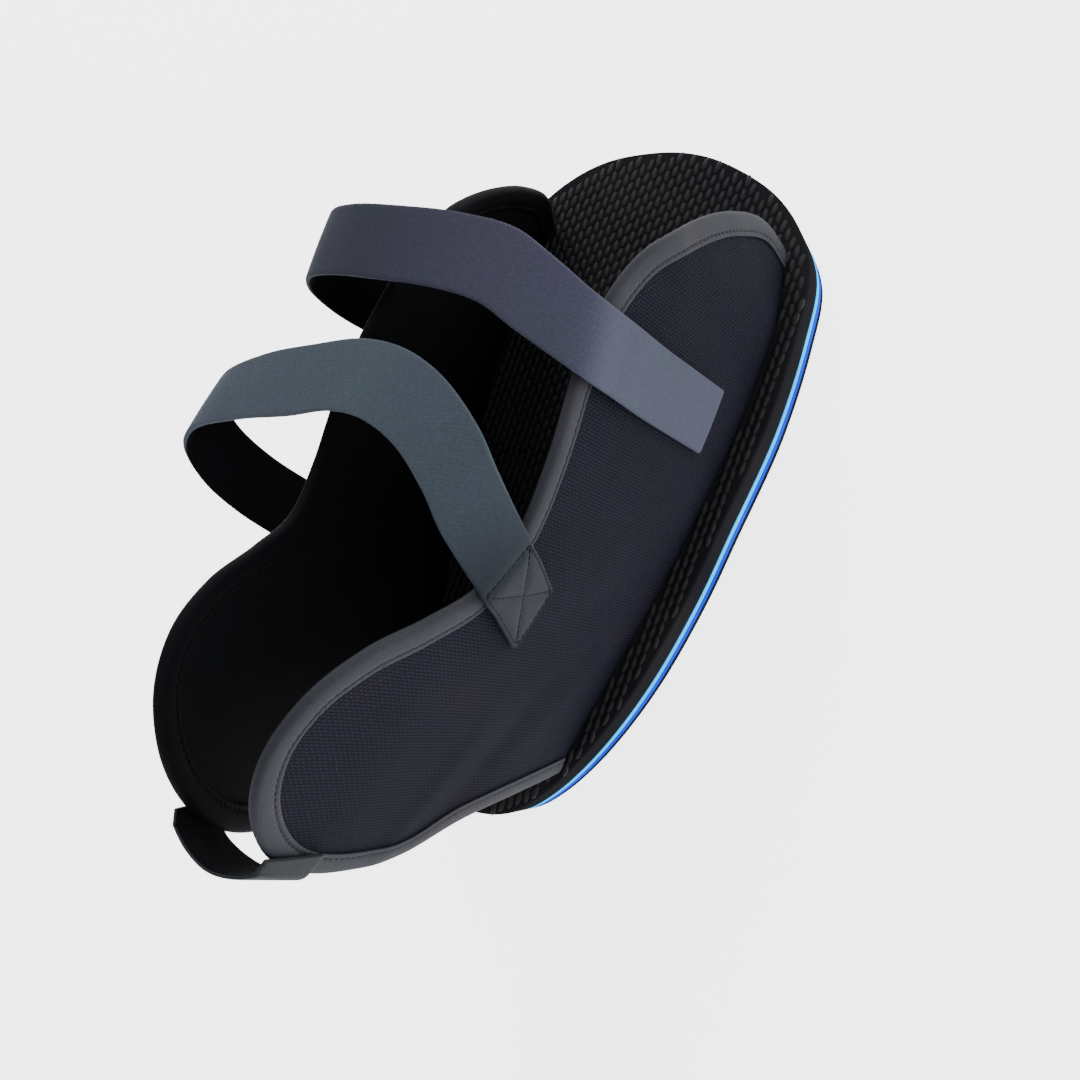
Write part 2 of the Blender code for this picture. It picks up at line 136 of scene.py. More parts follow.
def inset(line: Sequence[Vector], distance: float) -> list[Vector]:
    """Move a flat line to the left of its own direction.

    Args:
        line: Points of two coordinates.
        distance: How far to move them.

    Returns:
        The moved points.
    """
    moved = []
    for index, point in enumerate(line):
        tangent = (line[min(index + 1, len(line) - 1)] - line[max(index - 1, 0)]).normalized()
        moved.append(point + Vector((-tangent.y, tangent.x)) * distance)
    return moved


def inside(ring: Sequence[Vector], x: float, y: float) -> bool:
    """Whether a flat point lies inside a closed ring of points."""
    found = False
    for a, b in zip(ring, list(ring[1:]) + [ring[0]]):
        if (a.y > y) != (b.y > y) and x < a.x + (y - a.y) / (b.y - a.y) * (b.x - a.x):
            found = not found
    return found


@dataclass(frozen=True)
class ShoeForm:
    """The surfaces that every piece of the shoe follows, from its named sizes."""

    half_length: float = 140.4 * MM
    ball_half_width: float = 66.3 * MM
    footbed: float = 28.2 * MM
    web_level: float = 14.7 * MM
    toe_spring: float = 0.93 * MM
    heel_spring: float = 0.85 * MM
    flat_front: float = 0.50
    flat_rear: float = -0.60
    canvas: float = 1.8 * MM
    wing_height: float = 172.0 * MM
    wing_lean: float = 30.0 * MM
    lean_height: float = 100.0 * MM
    lean_power: float = 1.3
    left_shorter: float = 10.0 * MM
    shorter_power: float = 1.5
    shorter_start: float = 0.5

    # Columns: place along as a share of half_length, half width as a share of ball_half_width.
    outline: Table = (
        (1.000, 0.000), (0.987, 0.230), (0.932, 0.555), (0.850, 0.775), (0.750, 0.920),
        (0.580, 0.978), (0.310, 1.000), (0.000, 0.945), (-0.220, 0.900), (-0.490, 0.795),
        (-0.720, 0.635), (-0.870, 0.470), (-0.950, 0.325), (-0.988, 0.165), (-1.000, 0.000),
    )
    # Columns: place along, half width of the wing's foot, lean inwards as a share of wing_lean.
    sections: Table = (
        (-1.110, 0.300, 0.275), (-0.945, 0.422, 0.273), (-0.820, 0.490, 0.270),
        (-0.570, 0.583, 0.228), (-0.360, 0.664, 0.233), (-0.150, 0.737, 0.267),
        (0.040, 0.785, 0.352), (0.250, 0.825, 0.513), (0.440, 0.837, 0.611),
        (0.565, 0.832, 0.671), (0.705, 0.775, 0.831), (0.780, 0.718, 0.965), (0.860, 0.610, 1.000),
    )
    # Columns: place along, height over the footbed as a share of wing_height.
    edge_table: Table = (
        (0.784, 0.000), (0.802, 0.115), (0.745, 0.262), (0.680, 0.365), (0.590, 0.472),
        (0.500, 0.555), (0.350, 0.627), (0.160, 0.661), (-0.035, 0.664), (-0.190, 0.668),
        (-0.318, 0.704), (-0.402, 0.795), (-0.487, 0.907), (-0.590, 0.981), (-0.705, 1.000),
        (-0.830, 0.962), (-0.945, 0.868), (-1.013, 0.747), (-1.031, 0.600), (-1.002, 0.450),
        (-0.915, 0.330), (-0.850, 0.170), (-0.790, 0.000),
    )
    # Soft troughs and ridges of the canvas. Columns: sign of the wing, place along and height
    # over the footbed in mm, direction in degrees from level, half length and half width in
    # mm, depth in mm, outwards where it is above zero.
    creases: Table = (
        (-1, 62.0, 34.0, 78.0, 34.0, 9.0, -0.55),
        (-1, 84.0, 22.0, 60.0, 26.0, 7.0, 0.40),
        (-1, 8.0, 30.0, 100.0, 30.0, 12.0, 0.45),
        (-1, -38.0, 42.0, 120.0, 36.0, 10.0, -0.60),
        (-1, -72.0, 30.0, 150.0, 34.0, 8.0, 0.70),
        (-1, -104.0, 62.0, 160.0, 30.0, 7.0, -0.80),
        (-1, -116.0, 84.0, 165.0, 34.0, 6.0, 0.65),
        (-1, -92.0, 128.0, 20.0, 26.0, 14.0, 0.50),
        (1, -98.0, 92.0, 70.0, 40.0, 12.0, -0.90),
        (1, -60.0, 66.0, 40.0, 38.0, 10.0, 0.70),
        (1, 20.0, 60.0, 110.0, 34.0, 12.0, -0.60),
        (1, 78.0, 40.0, 100.0, 24.0, 8.0, 0.50),
    )

    def spring(self, x: float) -> float:
        """Lift of the sole off the floor at the toe and at the heel."""
        front, rear = self.flat_front * self.half_length, self.flat_rear * self.half_length
        toe = max(x - front, 0.0) / (self.half_length - front)
        heel = max(rear - x, 0.0) / (self.half_length + rear)
        return self.toe_spring * toe**2 + self.heel_spring * heel**2

    def wing_side(self, x: float, over: float) -> float:
        """Distance of a wing's middle surface from the centre plane, at a height over the footbed."""
        along = x / self.half_length
        foot = table_value(self.sections, 1, along) * self.ball_half_width
        lean = table_value(self.sections, 2, along) * self.wing_lean
        return foot - lean * (max(over, 0.0) / self.lean_height) ** self.lean_power

    def crease(self, x: float, over: float, wing: Wing) -> float:
        """How far the canvas stands out at a point, from its creases."""
        total = 0.0
        for sign, along, up, turn, length, width, depth in self.creases:
            if sign != wing.value:
                continue
            dx, dz = x - along * MM, over - up * MM
            c, s = math.cos(math.radians(turn)), math.sin(math.radians(turn))
            run = (dx * c + dz * s) / (length * MM)
            side = (dz * c - dx * s) / (width * MM)
            total += depth * MM * math.exp(-run * run - side * side)
        return total * min(1.0, max(over, 0.0) / (12.0 * MM))

    def wing_point(self, x: float, over: float, wing: Wing, out: float = 0.0) -> Vector:
        """A point on a wing.

        Args:
            x: Place along the shoe.
            over: Height over the footbed.
            wing: The wing that it lies on.
            out: Distance out from the canvas's middle surface.

        Returns:
            The point in the shoe's frame.
        """
        step = 1.0 * MM
        along = (self.wing_side(x + step, over) - self.wing_side(x - step, over)) / (2 * step)
        up = 0.0
        if over >= 0.0:
            up = (self.wing_side(x, over + step) - self.wing_side(x, over - step)) / (2 * step)
        normal = Vector((-along, 1.0, -up)).normalized()
        place = Vector((x, self.wing_side(x, over), self.footbed + over + self.spring(x)))
        place += normal * (out + self.crease(x, over, wing))
        return Vector((place.x, wing.value * place.y, place.z))

    def wing_edge(self, wing: Wing, steps: int) -> list[Vector]:
        """The wing's edge in its own side view, from its front foot over the top to its rear foot."""
        points = []
        for along, up in self.edge_table:
            x = along * self.half_length
            if wing is Wing.LEFT and x > 0:
                fade = (1.0 - up) ** self.shorter_power * min(1.0, along / self.shorter_start)
                x -= self.left_shorter * fade
            points.append((x, up * self.wing_height, 0.0))
        return [Vector((p.x, p.y)) for p in curve_through(points, steps)]

    def sole_outline(self, steps: int) -> list[Vector]:
        """The sole's plan outline, all round, as flat points."""
        half = [(a * self.half_length, w * self.ball_half_width, 0.0) for a, w in self.outline]
        other = [(x, -y, 0.0) for x, y, _ in reversed(half[1:-1])]
        return [Vector((p.x, p.y)) for p in curve_through(half + other, steps, closed=True)]


FORM = ShoeForm()


def select_only(piece: bpy.types.Object) -> None:
    """Select one object and make it active."""
    bpy.ops.object.select_all(action="DESELECT")
    piece.select_set(True)
    bpy.context.view_layer.objects.active = piece


def laid_grid(name: str, columns: int, rows: int, place: Callable[[float, float], Vector],
              cloth: Callable[[float, float], tuple[float, float]]) -> bpy.types.Object:
    """Add a flat grid and lay it on a surface.

    Args:
        name: The piece's name.
        columns: Faces along the first direction.
        rows: Faces along the second direction.
        place: Gives a corner's place from its two shares.
        cloth: Gives a corner's place on the flat cloth in metres, from the same shares.

    Returns:
        The new piece, with the cloth's places in its UV map.
    """
    bpy.ops.object.select_all(action="DESELECT")
    bpy.ops.mesh.primitive_grid_add(x_subdivisions=columns, y_subdivisions=rows, size=1.0)
    piece = bpy.context.object
    piece.name = piece.data.name = name
    mesh = piece.data
    shares = [(v.co.x + 0.5, v.co.y + 0.5) for v in mesh.vertices]
    layer = mesh.uv_layers.active.data
    for loop in mesh.loops:
        layer[loop.index].uv = cloth(*shares[loop.vertex_index])
    for vertex, (u, v) in zip(mesh.vertices, shares):
        vertex.co = place(u, v)
    return piece


def apply_modifier(piece: bpy.types.Object, kind: str, **settings: object) -> None:
    """Add a modifier with its settings and apply it."""
    select_only(piece)
    bpy.ops.object.modifier_add(type=kind)
    modifier = piece.modifiers[-1]
    for key, value in settings.items():
        setattr(modifier, key, value)
    bpy.ops.object.modifier_apply(modifier=modifier.name)


def weld(piece: bpy.types.Object, distance: float = 0.01 * MM) -> None:
    """Merge doubles and turn the faces outwards."""
    select_only(piece)
    bpy.ops.object.mode_set(mode="EDIT")
    bpy.ops.mesh.select_all(action="SELECT")
    bpy.ops.mesh.remove_doubles(threshold=distance)
    bpy.ops.mesh.normals_make_consistent(inside=False)
    bpy.ops.object.mode_set(mode="OBJECT")


def shade(piece: bpy.types.Object, angle: float = 40.0) -> None:
    """Shade a piece smooth up to an angle in degrees."""
    select_only(piece)
    bpy.ops.object.shade_smooth_by_angle(angle=math.radians(angle))


def open_slots(piece: bpy.types.Object, count: int) -> None:
    """Give a piece empty material slots, which a modifier needs before it numbers its faces."""
    while len(piece.data.materials) < count:
        piece.data.materials.append(None)


def finish_piece(piece: bpy.types.Object, materials: Sequence[bpy.types.Material], slot: Slot,
                 replaced: Sequence[str] = ()) -> bpy.types.Object:
    """Dress a piece and fasten it to the shoe.

    Args:
        piece: The piece.
        materials: Its materials, in the order of its slots.
        slot: The record's slot of the piece; not used.
        replaced: CAD nodes that it stands for.

    Returns:
        The same piece.
    """
    open_slots(piece, len(materials))
    for index, material in enumerate(materials):
        piece.data.materials[index] = material
    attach(piece, "root")
    if replaced:
        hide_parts(*replaced)
    faces = sum(len(face.vertices) - 2 for face in piece.data.polygons)
    LOG.info("%s: %d triangles", piece.name, faces)
    return piece


class Nodes:
    """A small builder for one node tree."""

    def __init__(self, tree: bpy.types.NodeTree) -> None:
        """Start on a tree."""
        self.tree = tree

    def add(self, kind: str, inputs: dict[str | int, object] | None = None, **settings: object) -> bpy.types.Node:
        """Add a node.

        Args:
            kind: The node's type.
            inputs: Values or sockets for its inputs, by name or number.
            **settings: Properties of the node.

        Returns:
            The node.
        """
        node = self.tree.nodes.new(kind)
        for key, value in settings.items():
            setattr(node, key, value)
        for key, value in (inputs or {}).items():
            if isinstance(value, bpy.types.NodeSocket):
                self.tree.links.new(value, node.inputs[key])
            else:
                node.inputs[key].default_value = value
        return node

    def math(self, operation: str, first: object, second: object = 0.0, third: object = 0.0) -> bpy.types.NodeSocket:
        """Add a math node and return its value."""
        return self.add("ShaderNodeMath", {0: first, 1: second, 2: third}, operation=operation).outputs[0]

    def blend(self, factor: object, first: object, second: object, mode: str = "MIX") -> bpy.types.NodeSocket:
        """Add a colour mix and return its colour."""
        node = self.add("ShaderNodeMix", data_type="RGBA", blend_type=mode)
        for socket, value in ((node.inputs[0], factor), (node.inputs[6], first), (node.inputs[7], second)):
            if isinstance(value, bpy.types.NodeSocket):
                self.tree.links.new(value, socket)
            else:
                socket.default_value = value
        return node.outputs[2]

    def noise(self, place: object, scale: float, detail: float = 3.0, rough: float = 0.55) -> bpy.types.NodeSocket:
        """Add a noise texture and return its value."""
        inputs = {"Vector": place, "Scale": scale, "Detail": detail, "Roughness": rough}
        return self.add("ShaderNodeTexNoise", inputs).outputs[0]

    def ramp(self, value: object, low: float, high: float) -> bpy.types.NodeSocket:
        """Stretch a value smoothly from low and high to 0 and 1."""
        inputs = {"Value": value, "From Min": low, "From Max": high}
        return self.add("ShaderNodeMapRange", inputs, interpolation_type="SMOOTHSTEP").outputs[0]


def new_group(name: str, inputs: Sequence[tuple[str, str, object]],
              outputs: Sequence[tuple[str, str]]) -> tuple[bpy.types.NodeTree, Nodes, dict, dict]:
    """Start a node group.

    Args:
        name: The group's name.
        inputs: Name, socket type and first value of each input.
        outputs: Name and socket type of each output.

    Returns:
        The tree, its builder, and its input and output sockets by name.
    """
    tree = bpy.data.node_groups.new(name, "ShaderNodeTree")
    for label, kind, value in inputs:
        socket = tree.interface.new_socket(name=label, in_out="INPUT", socket_type=kind)
        if value is not None:
            socket.default_value = value
    for label, kind in outputs:
        tree.interface.new_socket(name=label, in_out="OUTPUT", socket_type=kind)
    nodes = Nodes(tree)
    start = nodes.add("NodeGroupInput")
    end = nodes.add("NodeGroupOutput")
    return tree, nodes, {s.name: s for s in start.outputs if s.name}, {s.name: s for s in end.inputs if s.name}


def mottle_group() -> bpy.types.NodeTree:
    """Slow drifts of colour over a surface, with a finer grain in them."""
    tree, nodes, given, out = new_group(
        "mottle",
        [("Place", "NodeSocketVector", None), ("Base", "NodeSocketColor", (0, 0, 0, 1)),
         ("Warm", "NodeSocketColor", (0, 0, 0, 1)), ("Cool", "NodeSocketColor", (0, 0, 0, 1)),
         ("Drift", "NodeSocketFloat", 40.0), ("Grain", "NodeSocketFloat", 900.0)],
        [("Colour", "NodeSocketColor"), ("Grain", "NodeSocketFloat")],
    )
    drift = nodes.add("ShaderNodeTexNoise", {"Vector": given["Place"], "Scale": given["Drift"], "Detail": 2.0})
    grain = nodes.add("ShaderNodeTexNoise", {"Vector": given["Place"], "Scale": given["Grain"], "Detail": 2.0})
    warm = nodes.ramp(drift.outputs[0], 0.50, 0.72)
    cool = nodes.ramp(drift.outputs[0], 0.50, 0.28)
    colour = nodes.blend(warm, given["Base"], given["Warm"])
    colour = nodes.blend(cool, colour, given["Cool"])
    shadow = nodes.math("MULTIPLY_ADD", grain.outputs[0], 0.5, 0.72)
    tint = nodes.add("ShaderNodeCombineColor", {0: shadow, 1: shadow, 2: shadow}).outputs[0]
    tree.links.new(nodes.blend(1.0, colour, tint, "MULTIPLY"), out["Colour"])
    tree.links.new(grain.outputs[0], out["Grain"])
    return tree


def weave_group() -> bpy.types.NodeTree:
    """A plain weave on a cloth's own flat places in metres."""
    tree, nodes, given, out = new_group(
        "plain_weave",
        [("Place", "NodeSocketVector", None), ("Threads", "NodeSocketFloat", 900.0)],
        [("Height", "NodeSocketFloat"), ("Gap", "NodeSocketFloat")],
    )
    wobble = nodes.add("ShaderNodeTexNoise", {"Vector": given["Place"], "Scale": 240.0, "Detail": 2.0})
    split = nodes.add("ShaderNodeSeparateXYZ", {0: given["Place"]})
    waves = []
    for axis in (0, 1):
        turn = nodes.math("MULTIPLY", nodes.math("MULTIPLY", split.outputs[axis], given["Threads"]), math.pi)
        waves.append(nodes.math("SINE", nodes.math("MULTIPLY_ADD", wobble.outputs[0], 1.6, turn)))
    product = nodes.math("MULTIPLY", waves[0], waves[1])
    knots = nodes.math("MULTIPLY_ADD", nodes.math("ABSOLUTE", product), 0.5, 0.25)
    tree.links.new(nodes.math("MULTIPLY_ADD", product, 0.25, knots), out["Height"])
    # The gaps between threads, as a mask for painted shade.
    open_one = nodes.math("SUBTRACT", 1.0, nodes.math("ABSOLUTE", waves[0]))
    open_two = nodes.math("SUBTRACT", 1.0, nodes.math("ABSOLUTE", waves[1]))
    gap = nodes.math("MAXIMUM", nodes.math("POWER", open_one, 1.5), nodes.math("POWER", open_two, 1.5))
    tree.links.new(gap, out["Gap"])
    return tree


@dataclass(frozen=True)
class ClothFinish:
    """Woven cloth with a weave on its own flat places."""

    name: str
    base: Colour
    warm: Colour
    cool: Colour
    # Colour of the gaps between threads and of the seam groove: painted shade.
    gap: Colour
    threads: float
    weave_depth: float
    rough: float
    sheen: float
    drift: float = 36.0
    # How far the gaps between threads darken towards that colour: painted shade.
    gap_shade_share: float = 0.6
    # Place across the tape of a darker line along its seam groove, and how dark: painted shade in the groove.
    groove: float = 0.0
    groove_shade: float = 0.75
    specular: float = 0.1
    # How much lighter the thread crests are and darker the low weave: painted light and shade of the weave's relief,
    # over its bump.
    painted_weave_contrast: float = 0.3
    mean_height: float = 0.45
    # Painted shade along a strap: the colour is cut to the share at the first distance along and is back in full by
    # the second.
    shade_ramp_from: float = 0.0
    shade_ramp_to: float = 0.0
    shade_ramp_share: float = 1.0

    def make(self, groups: dict[str, bpy.types.NodeTree]) -> bpy.types.Material:
        """Make the material from the shared groups."""
        material = bpy.data.materials.new(self.name)
        material.use_nodes = True
        nodes = Nodes(material.node_tree)
        shader = material.node_tree.nodes["Principled BSDF"]
        place = nodes.add("ShaderNodeTexCoord")
        mottle = nodes.add("ShaderNodeGroup", node_tree=groups["mottle"])
        for key, colour in (("Base", self.base), ("Warm", self.warm), ("Cool", self.cool)):
            mottle.inputs[key].default_value = (*colour, 1.0)
        mottle.inputs["Drift"].default_value = self.drift
        material.node_tree.links.new(place.outputs["Object"], mottle.inputs["Place"])
        weave = nodes.add("ShaderNodeGroup", node_tree=groups["weave"])
        weave.inputs["Threads"].default_value = self.threads
        material.node_tree.links.new(place.outputs["UV"], weave.inputs["Place"])
        # The gaps between threads blend towards the gap colour: painted shade.
        share = nodes.math("MULTIPLY", weave.outputs["Gap"], self.gap_shade_share)
        colour = nodes.blend(share, mottle.outputs["Colour"], (*self.gap, 1.0))
        # Thread crests lighter and the low weave darker: painted light and shade.
        lit = nodes.math("MULTIPLY_ADD", weave.outputs["Height"], self.painted_weave_contrast,
                         1.0 - self.painted_weave_contrast * self.mean_height)
        # Painted shade along the strap's length.
        if self.shade_ramp_share < 1.0:
            along = nodes.add("ShaderNodeSeparateXYZ", {0: place.outputs["UV"]}).outputs[0]
            bright = nodes.ramp(along, self.shade_ramp_from, self.shade_ramp_to)
            lit = nodes.math("MULTIPLY", lit, nodes.math("MULTIPLY_ADD", bright, 1.0 - self.shade_ramp_share, self.shade_ramp_share))
        tint = nodes.add("ShaderNodeCombineColor", {0: lit, 1: lit, 2: lit}).outputs[0]
        colour = nodes.blend(1.0, colour, tint, "MULTIPLY")
        # A darker line along the seam groove: painted shade.
        if self.groove > 0.0:
            across = nodes.add("ShaderNodeSeparateXYZ", {0: place.outputs["UV"]}).outputs[1]
            away = nodes.math("ABSOLUTE", nodes.math("SUBTRACT", across, self.groove))
            near = nodes.math("MULTIPLY", nodes.ramp(away, 0.9 * MM, 0.1 * MM), self.groove_shade)
            colour = nodes.blend(near, colour, (*self.gap, 1.0))
        material.node_tree.links.new(colour, shader.inputs["Base Color"])
        fuzz = nodes.math("MULTIPLY_ADD", mottle.outputs["Grain"], 0.35, weave.outputs["Height"])
        bump = nodes.add("ShaderNodeBump", {"Height": fuzz, "Strength": 1.0, "Distance": self.weave_depth})
        material.node_tree.links.new(bump.outputs[0], shader.inputs["Normal"])
        rough = nodes.math("MULTIPLY_ADD", mottle.outputs["Grain"], 0.12, self.rough - 0.06)
        material.node_tree.links.new(rough, shader.inputs["Roughness"])
        shader.inputs["Sheen Weight"].default_value = self.sheen
        shader.inputs["Sheen Roughness"].default_value = 0.45
        shader.inputs["Specular IOR Level"].default_value = self.specular
        material.diffuse_color = (*self.base, 1.0)
        return material


@dataclass(frozen=True)
class FoamFinish:
    """Closed-cell foam with a fine skin."""

    name: str
    base: Colour
    warm: Colour
    cool: Colour
    rough: float
    pore_depth: float
    pores: float = 1400.0
    drift: float = 28.0
    # Emission in the layer's own colour: a painted glow that keeps the layer bright, though foam gives no light.
    painted_glow: float = 0.0
    ior: float = 1.1
    specular: float = 0.0

    def make(self, groups: dict[str, bpy.types.NodeTree]) -> bpy.types.Material:
        """Make the material from the shared groups."""
        material = bpy.data.materials.new(self.name)
        material.use_nodes = True
        nodes = Nodes(material.node_tree)
        shader = material.node_tree.nodes["Principled BSDF"]
        place = nodes.add("ShaderNodeTexCoord").outputs["Object"]
        mottle = nodes.add("ShaderNodeGroup", node_tree=groups["mottle"])
        for key, colour in (("Base", self.base), ("Warm", self.warm), ("Cool", self.cool)):
            mottle.inputs[key].default_value = (*colour, 1.0)
        mottle.inputs["Drift"].default_value = self.drift
        mottle.inputs["Grain"].default_value = self.pores
        material.node_tree.links.new(place, mottle.inputs["Place"])
        material.node_tree.links.new(mottle.outputs["Colour"], shader.inputs["Base Color"])
        bump = nodes.add("ShaderNodeBump",
                         {"Height": mottle.outputs["Grain"], "Strength": 1.0, "Distance": self.pore_depth})
        material.node_tree.links.new(bump.outputs[0], shader.inputs["Normal"])
        rough = nodes.math("MULTIPLY_ADD", mottle.outputs["Grain"], 0.16, self.rough - 0.08)
        material.node_tree.links.new(rough, shader.inputs["Roughness"])
        shader.inputs["IOR"].default_value = self.ior
        shader.inputs["Specular IOR Level"].default_value = self.specular
        # Painted glow: the layer gives off its own colour as light.
        if self.painted_glow > 0.0:
            shader.inputs["Emission Color"].default_value = (*self.base, 1.0)
            shader.inputs["Emission Strength"].default_value = self.painted_glow
        material.diffuse_color = (*self.base, 1.0)
        return material


@dataclass
class Sole:
    """Four foam layers with an embossed footbed."""

    outsole_thickness: float = 4.1 * MM
    stripe_thickness: float = 4.4 * MM
    top_thickness: float = 14.4 * MM
    layer_gap: float = 0.3 * MM
    edge_round: float = 0.5 * MM
    top_round: float = 1.3 * MM
    around: int = 12
    row_pitch: float = 2.83 * MM
    grain_pitch: float = 5.47 * MM
    grain_length: float = 6.3 * MM
    grain_width: float = 2.5 * MM
    grain_height: float = 0.95 * MM
    grain_slant: float = 5.0
    row_skew: float = 2.5
    grain_margin: float = 2.6 * MM
    wing_margin: float = 1.6 * MM

    def layer(self, name: str, bottom: float, thickness: float, rounds: tuple[float, float]) -> bpy.types.Object:
        """One foam layer as a closed body with rounded edges.

        Args:
            name: The piece's name.
            bottom: Height of its underside.
            thickness: Its thickness.
            rounds: Radius of its lower and of its upper edge.

        Returns:
            The layer.
        """
        ring = FORM.sole_outline(self.around)
        count = len(ring)
        profile = [(share, 0.0, bottom) for share in (0.0, 0.25, 0.5, 0.75, 0.9)]
        for centre, radius, first in ((bottom + rounds[0], rounds[0], -90.0),
                                      (bottom + thickness - rounds[1], rounds[1], 0.0)):
            for step in range(5):
                angle = math.radians(first + 22.5 * step)
                profile.append((1.0, radius * (1.0 - math.cos(angle)), centre + radius * math.sin(angle)))
        profile += [(share, 0.0, bottom + thickness) for share in (0.9, 0.75, 0.5, 0.25, 0.0)]

        def place(u: float, v: float) -> Vector:
            """A point round the layer, from the middle of its underside to that of its top."""
            share, back, height = profile[round(v * (len(profile) - 1))]
            index = round(u * count) % count
            point = ring[index]
            tangent = (ring[(index + 1) % count] - ring[index - 1]).normalized()
            point = point * share + Vector((-tangent.y, tangent.x)) * back
            return Vector((point.x, point.y, height + FORM.spring(point.x)))

        piece = laid_grid(name, count, len(profile) - 1, place, lambda u, v: (u, v))
        weld(piece)
        shade(piece, 50.0)
        return piece

    def on_footbed(self, x: float, y: float, rim: Sequence[Vector]) -> bool:
        """Whether a grain fits at a place, clear of the sole's rim and of the wings."""
        if not inside(rim, x, y):
            return False
        front = FORM.edge_table[0][0] * FORM.half_length
        if y > 0:
            front -= FORM.left_shorter
        rear = FORM.edge_table[-1][0] * FORM.half_length
        if rear - self.grain_margin < x < front + self.grain_margin:
            return abs(abs(y) - FORM.wing_side(x, 0.0)) > self.wing_margin
        return True

    def one_grain(self) -> tuple[list[Vector], list[tuple[int, ...]]]:
        """Model one raised grain and return its points and faces."""
        bpy.ops.object.select_all(action="DESELECT")
        bpy.ops.mesh.primitive_uv_sphere_add(segments=8, ring_count=6, radius=0.5)
        grain = bpy.context.object
        bpy.ops.transform.resize(value=(self.grain_length, self.grain_width, 2 * self.grain_height))
        bpy.ops.object.transform_apply(location=False, rotation=True, scale=True)
        bpy.ops.object.mode_set(mode="EDIT")
        bpy.ops.mesh.select_all(action="SELECT")
        bpy.ops.mesh.bisect(plane_co=(0, 0, -0.1 * MM), plane_no=(0, 0, 1), clear_inner=True, use_fill=True)
        bpy.ops.object.mode_set(mode="OBJECT")
        points = [v.co.copy() for v in grain.data.vertices]
        faces = [tuple(face.vertices) for face in grain.data.polygons]
        bpy.data.objects.remove(grain)
        return points, faces

    def grains(self) -> bpy.types.Object:
        """The footbed's embossing as one mesh of raised grains in staggered rows."""
        points, faces = self.one_grain()
        rim = [p * (1.0 - self.grain_margin / p.length) for p in FORM.sole_outline(4)]
        corners: list[Vector] = []
        polygons: list[tuple[int, ...]] = []
        rows = int(FORM.ball_half_width / self.row_pitch) + 1
        columns = int(FORM.half_length / self.grain_pitch) + 2
        for row in range(-rows, rows + 1):
            y = row * self.row_pitch
            turn = Matrix.Rotation(math.radians(self.grain_slant if row % 2 else -self.grain_slant), 3, "Z")
            for column in range(-columns, columns + 1):
                x = (column + 0.5 * (row % 2)) * self.grain_pitch + y * math.tan(math.radians(self.row_skew))
                if not self.on_footbed(x, y, rim):
                    continue
                first = len(corners)
                base = Vector((x, y, FORM.footbed + FORM.spring(x)))
                corners += [turn @ point + base for point in points]
                polygons += [tuple(first + index for index in face) for face in faces]
        mesh = bpy.data.meshes.new("footbed_grains")
        mesh.from_pydata(corners, [], polygons)
        piece = bpy.data.objects.new("footbed_grains", mesh)
        bpy.context.scene.collection.objects.link(piece)
        shade(piece, 60.0)
        return piece

    def build(self, foam: dict[Slot, bpy.types.Material], raised: bpy.types.Material) -> None:
        """Build and dress every layer and the embossing."""
        heights = (
            ("outsole", "tread_layer", Slot.BLACK_FOAM, self.outsole_thickness, (0.9 * MM, self.edge_round)),
            ("stripe_lower", "blue_layer", Slot.BLUE_FOAM, self.stripe_thickness, (self.edge_round, self.edge_round)),
            ("stripe_upper", "light_blue_layer", Slot.LIGHT_BLUE_FOAM, self.stripe_thickness,
             (self.edge_round, self.edge_round)),
            ("top_sole", "footbed_layer", Slot.BLACK_FOAM, self.top_thickness, (self.edge_round, self.top_round)),
        )
        bottom = 0.0
        for node, name, slot, thickness, rounds in heights:
            piece = self.layer(name, bottom, thickness, rounds)
            finish_piece(piece, [foam[slot]], slot, [node])
            bottom += thickness + self.layer_gap
        finish_piece(self.grains(), [raised], Slot.BLACK_FOAM)


